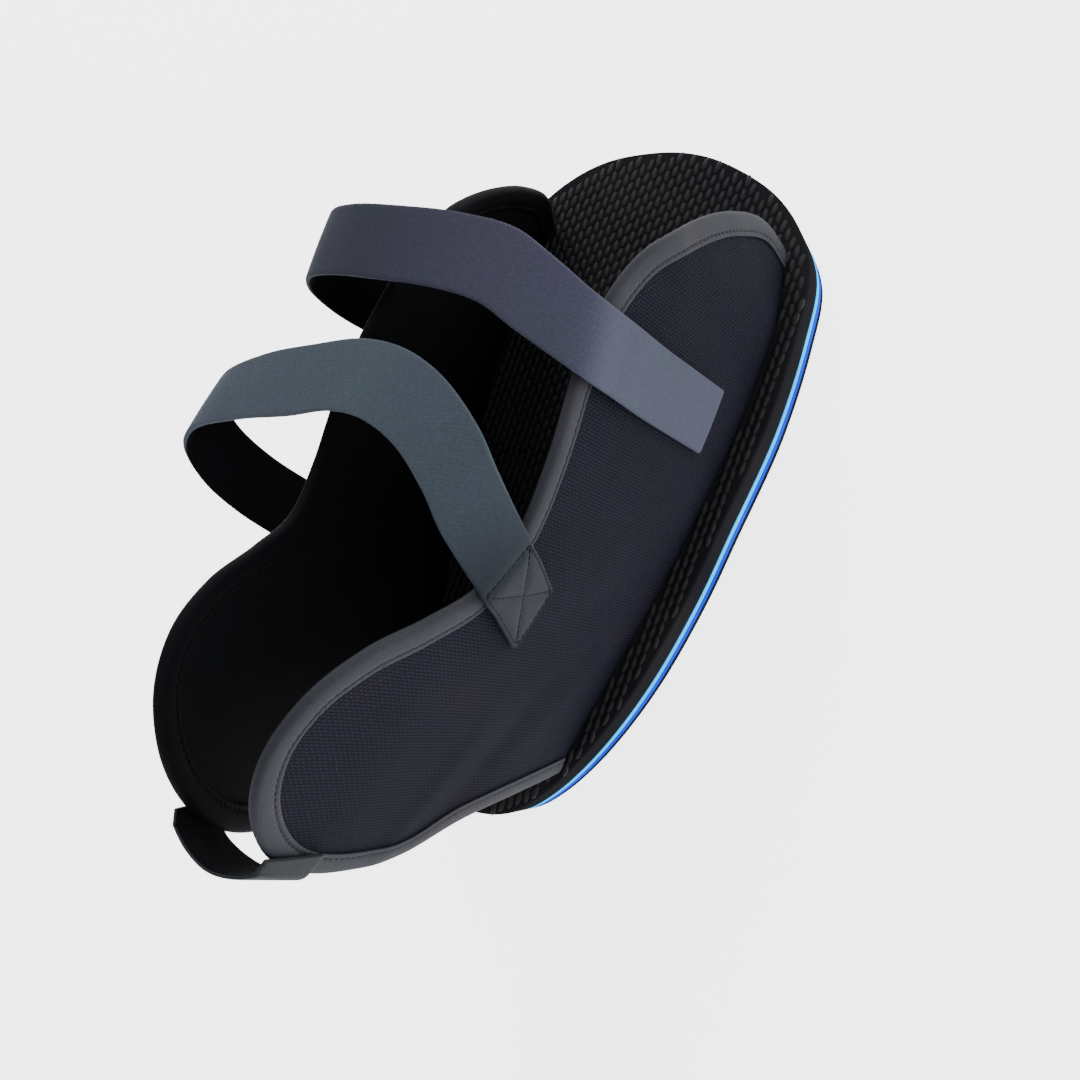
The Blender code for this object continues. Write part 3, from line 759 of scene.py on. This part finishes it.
@dataclass
class Upper:
    """The canvas: two wings and the web that joins them inside the sole, as one sheet."""

    cell: float = 2.0 * MM
    web_rows: int = 12
    edge_inset: float = 3.2 * MM

    def sheet(self) -> bpy.types.Object:
        """The whole cut of canvas, folded up at both sides and given its thickness."""
        front = max(row[0] for row in FORM.edge_table) * FORM.half_length
        rear = min(row[0] for row in FORM.edge_table) * FORM.half_length
        depth = FORM.footbed - FORM.web_level
        wing_rows = int((FORM.wing_height + depth) / self.cell)
        rows = 2 * wing_rows + self.web_rows
        columns = int((front - rear) / self.cell)

        def part_of(v: float) -> tuple[Wing | None, float]:
            """The wing that a row is on with its height over the footbed, or the web with its share across."""
            row = v * rows
            if row < wing_rows:
                return Wing.RIGHT, FORM.wing_height - row * (FORM.wing_height + depth) / wing_rows
            if row > wing_rows + self.web_rows:
                up = row - wing_rows - self.web_rows
                return Wing.LEFT, -depth + up * (FORM.wing_height + depth) / wing_rows
            return None, 2.0 * (row - wing_rows) / self.web_rows - 1.0

        def place(u: float, v: float) -> Vector:
            """A point of the folded sheet."""
            x = rear + u * (front - rear)
            wing, value = part_of(v)
            if wing is None:
                side = FORM.wing_side(x, 0.0)
                return Vector((x, value * side, FORM.web_level + FORM.spring(x)))
            return FORM.wing_point(x, value, wing)

        def cloth(u: float, v: float) -> tuple[float, float]:
            """The same point on the flat cloth."""
            return rear + u * (front - rear), v * rows * self.cell

        piece = laid_grid("upper_canvas", columns, rows, place, cloth)
        self.trim(piece, rear, front, part_of)
        open_slots(piece, 2)
        apply_modifier(piece, "SOLIDIFY", thickness=FORM.canvas, offset=0.0, use_even_offset=False,
                       material_offset=1, material_offset_rim=0)
        shade(piece, 60.0)
        return piece

    def trim(self, piece: bpy.types.Object, rear: float, front: float,
             part_of: Callable[[float], tuple[Wing | None, float]]) -> None:
        """Cut the sheet to the wings' outlines, a little inside the folded tape.

        Args:
            piece: The sheet, whose UV map holds its flat places.
            rear: The sheet's rear end; not used.
            front: The sheet's front end; not used.
            part_of: Tells which part of the upper a row belongs to.
        """
        rings = {}
        feet = {}
        for wing in Wing:
            line = inset(FORM.wing_edge(wing, 6), self.edge_inset)
            feet[wing] = (line[-1].x, line[0].x)
            low = -FORM.footbed
            rings[wing] = line + [Vector((line[-1].x, low)), Vector((line[0].x, low))]
        layer = piece.data.uv_layers.active.data
        total = max(item.uv.y for item in layer)
        doomed = []
        for face in piece.data.polygons:
            middle = sum((layer[i].uv for i in face.loop_indices), Vector((0.0, 0.0))) / len(face.loop_indices)
            wing, value = part_of(middle.y / total)
            if wing is None:
                keep = feet[Wing.LEFT][0] < middle.x < feet[Wing.LEFT][1]
            else:
                keep = inside(rings[wing], middle.x, value)
            if not keep:
                doomed.append(face.index)
        select_only(piece)
        bpy.ops.object.mode_set(mode="EDIT")
        bpy.ops.mesh.select_mode(type="FACE")
        bpy.ops.mesh.select_all(action="DESELECT")
        bpy.ops.object.mode_set(mode="OBJECT")
        for index in doomed:
            piece.data.polygons[index].select = True
        bpy.ops.object.mode_set(mode="EDIT")
        bpy.ops.mesh.delete(type="FACE")
        bpy.ops.mesh.select_all(action="SELECT")
        bpy.ops.mesh.flip_normals()
        bpy.ops.object.mode_set(mode="OBJECT")

    def build(self, canvas: bpy.types.Material, shaded_inner_canvas: bpy.types.Material) -> None:
        """Build the canvas and dress its outer face, and its inner face with painted shade."""
        finish_piece(self.sheet(), [canvas, shaded_inner_canvas], Slot.CANVAS, ["upper"])


@dataclass
class EdgeTape:
    """Tape folded over a wing's edge, with its stitched seam."""

    thickness: float = 0.7 * MM
    width: float = 8.0 * MM
    clearance: float = 0.45 * MM
    seam: float = 6.5 * MM
    stitch_pitch: float = 2.9 * MM
    stitch_length: float = 2.1 * MM
    stitch_radius: float = 0.26 * MM
    edge_steps: int = 34
    pucker: float = 0.10 * MM
    # Share of the width across the tape, from its outer hem, past which it takes the darker inner material: painted
    # shade, which starts before the fold on the left wing.
    tape_shade_from: dict[Wing, float] = field(default_factory=lambda: {Wing.RIGHT: 1.06, Wing.LEFT: 0.78})

    # Columns: distance from the fold's outer edge in mm, lift off the canvas in mm.
    profile: Table = (
        (8.0, -0.30), (7.6, -0.14), (7.1, -0.10), (6.8, -0.26), (6.5, -0.40), (6.2, -0.26),
        (5.7, -0.04), (5.0, 0.08), (4.0, 0.12), (3.0, 0.08), (2.2, 0.0),
    )

    def section(self) -> list[tuple[float, float]]:
        """Distance from the edge and offset out, from the outer hem round the fold to the inner hem."""
        out = FORM.canvas / 2 + self.clearance + self.thickness / 2
        side = [(distance * MM, out + lift * MM) for distance, lift in self.profile]
        centre = out + self.thickness / 2
        arc = []
        for step in range(1, 8):
            angle = math.pi * step / 8
            arc.append((centre - out * math.sin(angle), out * math.cos(angle)))
        return side + arc + [(distance, -offset) for distance, offset in reversed(side)]

    def tape(self, wing: Wing) -> bpy.types.Object:
        """The folded tape of one wing."""
        edge = [p for p in FORM.wing_edge(wing, self.edge_steps) if p.y > 0.2 * MM]
        section = self.section()
        insets = [inset(edge, distance) for distance, _ in section]
        lengths = [0.0]
        for a, b in zip(edge, edge[1:]):
            lengths.append(lengths[-1] + (b - a).length)
        columns = len(edge) - 1

        def place(u: float, v: float) -> Vector:
            """A point of the tape's middle surface."""
            index = round(u * columns)
            row = round(v * (len(section) - 1))
            point = insets[row][index]
            distance, offset = section[row]
            wave = math.sin(2 * math.pi * lengths[index] / self.stitch_pitch)
            near = math.exp(-((distance - self.seam) / (1.4 * MM)) ** 2)
            grow = 1.0 if offset > 0 else -1.0
            return FORM.wing_point(point.x, point.y, wing, offset + grow * self.pucker * wave * near)

        def cloth(u: float, v: float) -> tuple[float, float]:
            """The same point on the flat tape."""
            return lengths[round(u * columns)], v * 2 * self.width

        piece = laid_grid(f"{wing.name.lower()}_edge_tape", columns, len(section) - 1, place, cloth)
        open_slots(piece, 2)
        # Faces past that share take the darker copy of the tape: painted shade.
        flat = piece.data.uv_layers.active.data
        for face in piece.data.polygons:
            across = sum(flat[index].uv.y for index in face.loop_indices) / len(face.loop_indices)
            face.material_index = int(across > self.width * self.tape_shade_from[wing])
        apply_modifier(piece, "SOLIDIFY", thickness=self.thickness, offset=0.0, use_even_offset=False)
        weld(piece)
        shade(piece, 60.0)
        return piece

    def seam_line(self, wing: Wing, out: float) -> list[Vector]:
        """The seam on one face of the tape, at a distance out from the canvas's middle."""
        edge = [p for p in FORM.wing_edge(wing, self.edge_steps) if p.y > 2.0 * MM]
        line = inset(edge, self.seam)
        return [FORM.wing_point(p.x, p.y, wing, out) for p in line]

    def build(self, tape: bpy.types.Material, inner: bpy.types.Material, thread: bpy.types.Material) -> None:
        """Build and dress both tapes and their stitches, grey outside and painted shade inside."""
        out = FORM.canvas / 2 + self.clearance + self.thickness - 0.30 * MM
        for wing, node in ((Wing.RIGHT, "binding_right"), (Wing.LEFT, "binding_left")):
            finish_piece(self.tape(wing), [tape, inner], Slot.EDGE_TAPE, [node])
            # The inner stitches take the same painted shade material.
            for face, offset, finish in (("outer", out, thread), ("inner", -out, inner)):
                piece = stitches(f"{wing.name.lower()}_{face}_stitches", [self.seam_line(wing, offset)],
                                 self.stitch_pitch, self.stitch_length, self.stitch_radius)
                finish_piece(piece, [finish], Slot.EDGE_TAPE)


def stitches(name: str, lines: Sequence[Sequence[Vector]], pitch: float, length: float,
             radius: float) -> bpy.types.Object:
    """Thread stitches along lines, as one mesh.

    Args:
        name: The piece's name.
        lines: The lines to stitch along.
        pitch: Distance from one stitch to the next.
        length: Length of a stitch.
        radius: Radius of the thread.

    Returns:
        The piece.
    """
    bpy.ops.object.select_all(action="DESELECT")
    bpy.ops.mesh.primitive_uv_sphere_add(segments=6, ring_count=5, radius=1.0)
    bead = bpy.context.object
    points = np.array([v.co[:] for v in bead.data.vertices])
    faces = [tuple(face.vertices) for face in bead.data.polygons]
    bpy.data.objects.remove(bead)
    corners: list[np.ndarray] = []
    polygons: list[tuple[int, ...]] = []
    count = 0
    for line in lines:
        travelled = 0.0
        due = pitch / 2
        for a, b in zip(line, line[1:]):
            span = (b - a).length
            while due <= travelled + span and span > 0.0:
                middle = a.lerp(b, (due - travelled) / span)
                turn = (b - a).to_track_quat("Z", "Y").to_matrix()
                shape = points * np.array((radius, radius, length / 2))
                corners.append(shape @ np.array(turn).T + np.array(middle))
                polygons += [tuple(count + index for index in face) for face in faces]
                count += len(points)
                due += pitch
            travelled += span
    mesh = bpy.data.meshes.new(name)
    mesh.from_pydata(np.concatenate(corners).tolist(), [], polygons)
    piece = bpy.data.objects.new(name, mesh)
    bpy.context.scene.collection.objects.link(piece)
    shade(piece, 80.0)
    return piece


@dataclass
class Strap:
    """A webbing strap between two edges, with its own thickness and soft bends."""

    name: str
    node: str
    width: float
    thickness: float
    curl: float = 0.25 * MM
    steps: int = 10
    across: int = 14

    def ribbon(self, pairs: Sequence[Pair], sink: Callable[[float, float], float] | None = None) -> bpy.types.Object:
        """The strap as a closed body.

        Args:
            pairs: Its front and rear edge, row by row.
            sink: Gives how far its outer face sinks, from the distance along and across in metres.

        Returns:
            The strap.
        """
        ahead = curve_through([pair[0] for pair in pairs], self.steps)
        behind = curve_through([pair[1] for pair in pairs], self.steps)
        lengths = [0.0]
        for index in range(1, len(ahead)):
            step = (ahead[index] + behind[index] - ahead[index - 1] - behind[index - 1]).length / 2
            lengths.append(lengths[-1] + step)
        columns = len(ahead) - 1

        def place(u: float, v: float) -> Vector:
            """A point of the strap's middle surface."""
            index = round(u * columns)
            low, high = max(index - 1, 0), min(index + 1, columns)
            run = (ahead[high] + behind[high]) - (ahead[low] + behind[low])
            face = run.cross(ahead[index] - behind[index]).normalized()
            side = 2.0 * v - 1.0
            lift = self.curl * (1.0 - side * side)
            if sink is not None:
                lift -= sink(lengths[index], side * self.width / 2)
            return behind[index].lerp(ahead[index], v) - face * lift

        def cloth(u: float, v: float) -> tuple[float, float]:
            """The same point on the flat strap."""
            return lengths[round(u * columns)], v * self.width

        piece = laid_grid(self.name, columns, self.across, place, cloth)
        open_slots(piece, 2)
        apply_modifier(piece, "SOLIDIFY", thickness=self.thickness, offset=0.0, use_even_offset=False,
                       material_offset=1, material_offset_rim=1)
        apply_modifier(piece, "SUBSURF", levels=1, render_levels=1)
        shade(piece, 60.0)
        return piece


@dataclass
class Straps:
    """The three straps, with the places that they pass."""

    width: float = 24.6 * MM
    thickness: float = 1.9 * MM
    heel_thickness: float = 1.4 * MM
    clearance: float = 0.5 * MM
    step: float = 1.5 * MM
    box_length: float = 32.4 * MM
    box_margin: float = 1.3 * MM
    stitch_sink: float = 0.50 * MM
    stitch_spread: float = 1.4 * MM
    heel_up: float = 0.800

    # Columns: place along, height over the footbed, lift off the canvas as a share of step,
    # turn of the width from level in degrees, width as a share of the strap's.
    front_on_right: Table = (
        (0.244, 0.160, 0.0, 0.0, 1.0), (0.243, 0.300, 0.0, 0.0, 1.0), (0.243, 0.440, 0.2, 0.0, 1.0),
        (0.245, 0.560, 1.0, 0.0, 1.0), (0.250, 0.680, 1.0, 0.0, 1.0),
    )
    front_on_left: Table = (
        (0.242, 0.390, 1.0, 0.0, 1.0), (0.240, 0.310, 0.2, 0.0, 1.0), (0.238, 0.220, 0.0, 0.0, 1.0),
    )
    rear_on_right: Table = (
        (-0.358, 0.504, 0.0, 9.0, 0.91), (-0.327, 0.560, 0.4, 15.0, 0.91),
        (-0.294, 0.622, 1.0, 21.0, 0.91), (-0.262, 0.684, 1.0, 26.0, 0.92),
    )
    rear_on_left: Table = (
        (-0.355, 0.360, 1.0, 0.0, 1.0), (-0.356, 0.290, 0.2, 0.0, 1.0), (-0.357, 0.210, 0.0, 0.0, 1.0),
    )
    heel_on_wing: Table = (
        (-0.950, 0.800, 1.0, 90.0, 1.0), (-0.965, 0.800, 1.0, 90.0, 1.0), (-0.980, 0.800, 1.0, 90.0, 1.0),
    )
    # Columns: place along, place across, height over the footbed, turn of the width in degrees.
    front_free: Table = (
        (0.298, -0.330, 0.730, 8.0), (0.329, -0.140, 0.748, 9.0), (0.334, 0.130, 0.750, 6.0),
        (0.325, 0.480, 0.733, -1.0), (0.314, 0.822, 0.702, -1.0), (0.301, 1.022, 0.662, 1.5),
        (0.282, 1.101, 0.600, 3.0), (0.262, 1.060, 0.530, 1.0), (0.250, 0.940, 0.470, 2.0),
    )
    rear_free: Table = (
        (-0.160, -0.440, 0.765, 28.0), (-0.090, -0.330, 0.800, 26.0), (-0.022, -0.130, 0.812, 18.0),
        (0.012, 0.110, 0.803, 14.0), (0.010, 0.380, 0.775, 8.0), (-0.030, 0.680, 0.745, 3.0),
        (-0.078, 1.030, 0.710, 9.0), (-0.144, 1.360, 0.667, 17.0), (-0.200, 1.480, 0.615, 15.0),
        (-0.260, 1.430, 0.555, 14.0), (-0.305, 1.300, 0.490, 14.0), (-0.335, 1.090, 0.435, 13.0),
        (-0.350, 0.890, 0.400, 8.0),
    )
    # Columns: place along of the lower and of the upper edge, place across.
    heel_bend: Table = ((-1.024, -0.990, 0.243), (-1.042, -1.020, 0.140), (-1.048, -1.036, 0.000))

    def lying(self, rows: Table, wing: Wing, thickness: float) -> list[Pair]:
        """Edges of a strap that lies on a wing."""
        pairs = []
        for along, up, lift, turned, share in rows:
            turn = math.radians(turned)
            half = Vector((math.cos(turn), math.sin(turn))) * share * self.width / 2
            out = FORM.canvas / 2 + self.clearance + thickness / 2 + lift * self.step
            x, over = along * FORM.half_length, up * FORM.wing_height
            pairs.append((FORM.wing_point(x + half.x, over - half.y, wing, out),
                          FORM.wing_point(x - half.x, over + half.y, wing, out)))
        return pairs

    def free(self, rows: Table) -> list[Pair]:
        """Edges of a strap in the air."""
        pairs = []
        for along, across, up, turned in rows:
            middle = Vector((along * FORM.half_length, across * FORM.ball_half_width,
                             FORM.footbed + up * FORM.wing_height))
            turn = math.radians(turned)
            half = Vector((math.cos(turn), -math.sin(turn), 0.0)) * self.width / 2
            pairs.append((middle + half, middle - half))
        return pairs

    def box_lines(self) -> list[tuple[Vector, Vector]]:
        """The sewn box and its cross on the rear strap's end, along and across in metres."""
        near, far = self.box_margin, self.box_margin + self.box_length
        side = self.width / 2 - self.box_margin
        a, b = Vector((near, -side)), Vector((near, side))
        c, d = Vector((far, side)), Vector((far, -side))
        return [(a, b), (b, c), (c, d), (d, a), (a, c), (b, d)]

    def box_sink(self, along: float, across: float) -> float:
        """How far the sewn lines pull the rear strap's face in."""
        if along > self.box_length + 8 * self.box_margin:
            return 0.0
        point = Vector((along, across))
        nearest = 1.0
        for a, b in self.box_lines():
            run = b - a
            share = min(1.0, max(0.0, (point - a).dot(run) / run.length_squared))
            nearest = min(nearest, (point - a - run * share).length)
        return self.stitch_sink * math.exp(-(nearest / self.stitch_spread) ** 2)

    def box_stitches(self, pairs: Sequence[Pair]) -> bpy.types.Object:
        """The thread of the sewn box, on the rear strap's outer face."""
        ahead = curve_through([pair[0] for pair in pairs], 10)
        behind = curve_through([pair[1] for pair in pairs], 10)
        lengths = [0.0]
        for index in range(1, len(ahead)):
            step = (ahead[index] + behind[index] - ahead[index - 1] - behind[index - 1]).length / 2
            lengths.append(lengths[-1] + step)
        lines = []
        for a, b in self.box_lines():
            line = []
            for step in range(25):
                spot = a.lerp(b, step / 24)
                index = max(i for i, length in enumerate(lengths[:-1]) if length <= spot.x)
                t = (spot.x - lengths[index]) / (lengths[index + 1] - lengths[index])
                front, back = ahead[index].lerp(ahead[index + 1], t), behind[index].lerp(behind[index + 1], t)
                run = ahead[index + 1] + behind[index + 1] - ahead[index] - behind[index]
                face = run.cross(front - back).normalized()
                height = self.thickness / 2 - self.stitch_sink + 0.35 * MM
                line.append(back.lerp(front, spot.y / self.width + 0.5) - face * height)
            lines.append(line)
        return stitches("box_stitches", lines, 2.3 * MM, 1.9 * MM, 0.24 * MM)

    def heel_pairs(self) -> list[Pair]:
        """Edges of the band behind the heel, from the left wing to the right one."""
        left = self.lying(self.heel_on_wing, Wing.LEFT, self.heel_thickness)
        right = self.lying(self.heel_on_wing, Wing.RIGHT, self.heel_thickness)
        bend = list(self.heel_bend)
        bend += [(low, high, -across) for low, high, across in reversed(self.heel_bend[:-1])]
        height = FORM.footbed + FORM.heel_spring + self.heel_up * FORM.wing_height
        behind = []
        for low, high, across in bend:
            y = across * FORM.ball_half_width
            behind.append((Vector((low * FORM.half_length, y, height - self.width / 2)),
                           Vector((high * FORM.half_length, y, height + self.width / 2))))
        return left + behind + list(reversed(right))

    def build(self, face: bpy.types.Material, sewn: bpy.types.Material, back: bpy.types.Material,
              band: bpy.types.Material, thread: bpy.types.Material) -> None:
        """Build and dress the three straps and the sewn box, with painted shade on each strap's inner face."""
        front = self.lying(self.front_on_right, Wing.RIGHT, self.thickness)
        front += self.free(self.front_free) + self.lying(self.front_on_left, Wing.LEFT, self.thickness)
        strap = Strap("front_webbing", "front_strap", self.width, self.thickness)
        finish_piece(strap.ribbon(front), [back, face], Slot.WEBBING, ["front_strap"])
        rear = self.lying(self.rear_on_right, Wing.RIGHT, self.thickness)
        rear += self.free(self.rear_free) + self.lying(self.rear_on_left, Wing.LEFT, self.thickness)
        strap = Strap("rear_webbing", "rear_strap", self.width, self.thickness, steps=16, across=22)
        finish_piece(strap.ribbon(rear, self.box_sink), [back, sewn], Slot.WEBBING, ["rear_strap"])
        finish_piece(self.box_stitches(rear), [thread], Slot.WEBBING)
        strap = Strap("heel_band", "heel_strap", self.width, self.heel_thickness)
        finish_piece(strap.ribbon(self.heel_pairs()), [back, band], Slot.HEEL_WEBBING, ["heel_strap"])


@dataclass
class Studio:
    """A pale floor, soft light and the camera of the photograph."""

    floor_size: float = 8.0
    floor_colour: Colour = (0.86, 0.86, 0.86)
    floor_glow: float = 3.2
    world_strength: float = 1.0
    place: Colour = (-0.02166, -0.18267, 0.43507)
    right: Colour = (0.33847, -0.85082, -0.40193)
    up: Colour = (0.94089, 0.31185, 0.13221)
    lens: float = 36.667

    def camera(self) -> None:
        """Set the camera where the photograph's was."""
        data = bpy.data.cameras.new("camera")
        data.lens = self.lens
        data.clip_start = 0.01
        camera = bpy.data.objects.new("camera", data)
        bpy.context.scene.collection.objects.link(camera)
        right, up = Vector(self.right).normalized(), Vector(self.up).normalized()
        back = right.cross(up).normalized()
        turn = Matrix((right, up, back)).transposed().to_4x4()
        camera.matrix_world = Matrix.Translation(self.place) @ turn
        bpy.context.scene.camera = camera

    def lamp(self, name: str, place: Colour, power: float, size: float) -> None:
        """Add a soft square lamp that looks at the shoe."""
        data = bpy.data.lights.new(name, "AREA")
        data.energy = power
        data.size = size
        lamp = bpy.data.objects.new(name, data)
        bpy.context.scene.collection.objects.link(lamp)
        lamp.location = place
        aim = Vector((0.0, 0.0, 0.06)) - Vector(place)
        lamp.rotation_euler = aim.to_track_quat("-Z", "Y").to_euler()

    def build(self) -> None:
        """Set the floor, the world, the lamps and the camera."""
        bpy.ops.object.select_all(action="DESELECT")
        bpy.ops.mesh.primitive_plane_add(size=self.floor_size)
        floor = bpy.context.object
        floor.name = "floor"
        paint = bpy.data.materials.new("floor_paint")
        paint.use_nodes = True
        shader = paint.node_tree.nodes["Principled BSDF"]
        shader.inputs["Base Color"].default_value = (*self.floor_colour, 1.0)
        shader.inputs["Roughness"].default_value = 0.9
        shader.inputs["Emission Color"].default_value = (1.0, 1.0, 1.0, 1.0)
        shader.inputs["Emission Strength"].default_value = self.floor_glow
        floor.data.materials.append(paint)
        world = bpy.data.worlds.new("soft_room")
        world.use_nodes = True
        world.node_tree.nodes["Background"].inputs[0].default_value = (1.0, 1.0, 1.0, 1.0)
        world.node_tree.nodes["Background"].inputs[1].default_value = self.world_strength
        bpy.context.scene.world = world
        self.lamp("key", (0.9, 0.5, 1.1), 14.0, 0.7)
        self.lamp("side", (0.2, -1.2, 0.9), 4.0, 0.8)
        self.camera()


def main() -> None:
    """Build the studio and every piece of the shoe."""
    logging.basicConfig(level=logging.INFO, format="%(message)s")
    groups = {"mottle": mottle_group(), "weave": weave_group()}
    foam = {
        Slot.BLACK_FOAM: FoamFinish("black_foam_skin", (0.0112, 0.0112, 0.0130), (0.0134, 0.0126, 0.0140),
                                    (0.0090, 0.0096, 0.0118), 0.62, 0.05 * MM).make(groups),
        # Both blue layers are made to glow in their own colour: painted light.
        Slot.BLUE_FOAM: FoamFinish("blue_foam_skin", (0.000, 0.030, 0.520), (0.000, 0.040, 0.560),
                                   (0.000, 0.020, 0.440), 0.7, 0.02 * MM, painted_glow=0.25).make(groups),
        Slot.LIGHT_BLUE_FOAM: FoamFinish("light_blue_foam_skin", (0.000, 0.350, 0.800), (0.000, 0.500, 0.800),
                                         (0.000, 0.380, 0.720), 0.7, 0.02 * MM, painted_glow=0.45).make(groups),
    }
    # The raised grains are a little lighter than the black foam they are part of: painted light on their tops.
    raised = FoamFinish("raised_foam_grain", (0.0138, 0.0138, 0.0158), (0.0162, 0.0154, 0.0170),
                        (0.0116, 0.0122, 0.0142), 0.46, 0.02 * MM, ior=1.2, specular=0.5).make(groups)
    # The canvas's thread crests are painted much lighter than its low weave, and its gaps darker: painted light and
    # shade.
    canvas = ClothFinish("canvas_weave", (0.0078, 0.0084, 0.0166), (0.0098, 0.0088, 0.0178),
                         (0.0060, 0.0082, 0.0140), (0.0008, 0.0008, 0.0016), 1 / (1.1 * MM), 0.45 * MM, 0.9,
                         0.0, gap_shade_share=0.9, specular=0.055, painted_weave_contrast=1.7).make(groups)
    # The canvas's inner face, a far darker copy of the same cloth: painted shade inside the shoe.
    shaded_inner_canvas = ClothFinish("painted_shade_inner_canvas", (0.0029, 0.0031, 0.0044), (0.0034, 0.0031, 0.0042),
                         (0.0022, 0.0030, 0.0040), (0.0018, 0.0019, 0.0027), 1 / (0.7 * MM), 0.03 * MM, 0.85,
                         0.0, specular=0.06).make(groups)
    tape = ClothFinish("grey_edge_tape", (0.023, 0.025, 0.031), (0.032, 0.030, 0.036), (0.022, 0.026, 0.030),
                       (0.010, 0.011, 0.014), 1 / (0.6 * MM), 0.03 * MM, 0.80, 0.0, gap_shade_share=0.15,
                       groove=2.29 * MM).make(groups)
    # The tape's inner side and inner stitches, a far darker copy of the grey tape: painted shade.
    inner = ClothFinish("dark_edge_tape", (0.0026, 0.0028, 0.0040), (0.0031, 0.0030, 0.0041),
                        (0.0022, 0.0026, 0.0034), (0.0014, 0.0014, 0.0022), 1 / (0.6 * MM), 0.03 * MM, 0.80,
                        0.0, gap_shade_share=0.3, specular=0.06).make(groups)
    # The front strap is painted darker from 95 mm to 190 mm along and stays darker beyond, towards its far end over
    # the left wing: painted shade.
    face = ClothFinish("slate_webbing", (0.041, 0.045, 0.069), (0.046, 0.042, 0.072), (0.036, 0.047, 0.064),
                       (0.030, 0.033, 0.050), 1 / (0.75 * MM), 0.05 * MM, 0.82, 0.0, drift=16.0, gap_shade_share=0.3,
                       shade_ramp_from=190 * MM, shade_ramp_to=95 * MM, shade_ramp_share=0.55).make(groups)
    # The rear strap's sewn end is painted darker, coming back to full colour between 28 mm and 62 mm along: painted
    # shade.
    sewn = ClothFinish("slate_webbing_sewn", (0.044, 0.055, 0.072), (0.046, 0.049, 0.074), (0.040, 0.057, 0.068),
                       (0.030, 0.036, 0.050), 1 / (0.75 * MM), 0.05 * MM, 0.82, 0.0, drift=16.0, gap_shade_share=0.3,
                       shade_ramp_from=28 * MM, shade_ramp_to=62 * MM, shade_ramp_share=0.28).make(groups)
    # The straps' inner faces, a far darker copy of the webbing: painted shade under the straps.
    back = ClothFinish("painted_shade_webbing_back", (0.0035, 0.0040, 0.0052), (0.0042, 0.0042, 0.0054),
                       (0.0030, 0.0035, 0.0044), (0.0018, 0.0018, 0.0026), 1 / (0.9 * MM), 0.10 * MM, 0.85,
                       0.0, specular=0.06).make(groups)
    band = ClothFinish("grey_heel_webbing", (0.017, 0.019, 0.023), (0.020, 0.020, 0.024), (0.014, 0.018, 0.021),
                       (0.009, 0.010, 0.013), 1 / (0.9 * MM), 0.06 * MM, 0.8, 0.0, gap_shade_share=0.4).make(groups)
    tape_thread = ClothFinish("grey_thread", (0.014, 0.015, 0.019), (0.016, 0.015, 0.020), (0.012, 0.014, 0.017),
                              (0.008, 0.008, 0.011), 1 / (0.3 * MM), 0.02 * MM, 0.7, 0.0).make(groups)
    box_thread = ClothFinish("dark_thread", (0.010, 0.013, 0.018), (0.011, 0.012, 0.018), (0.008, 0.012, 0.015),
                             (0.006, 0.007, 0.010), 1 / (0.3 * MM), 0.02 * MM, 0.7, 0.0).make(groups)
    Studio().build()
    Sole().build(foam, raised)
    Upper().build(canvas, shaded_inner_canvas)
    EdgeTape().build(tape, inner, tape_thread)
    Straps().build(face, sewn, back, band, box_thread)
    bpy.ops.object.select_all(action="DESELECT")


if __name__ == "__main__":
    main()
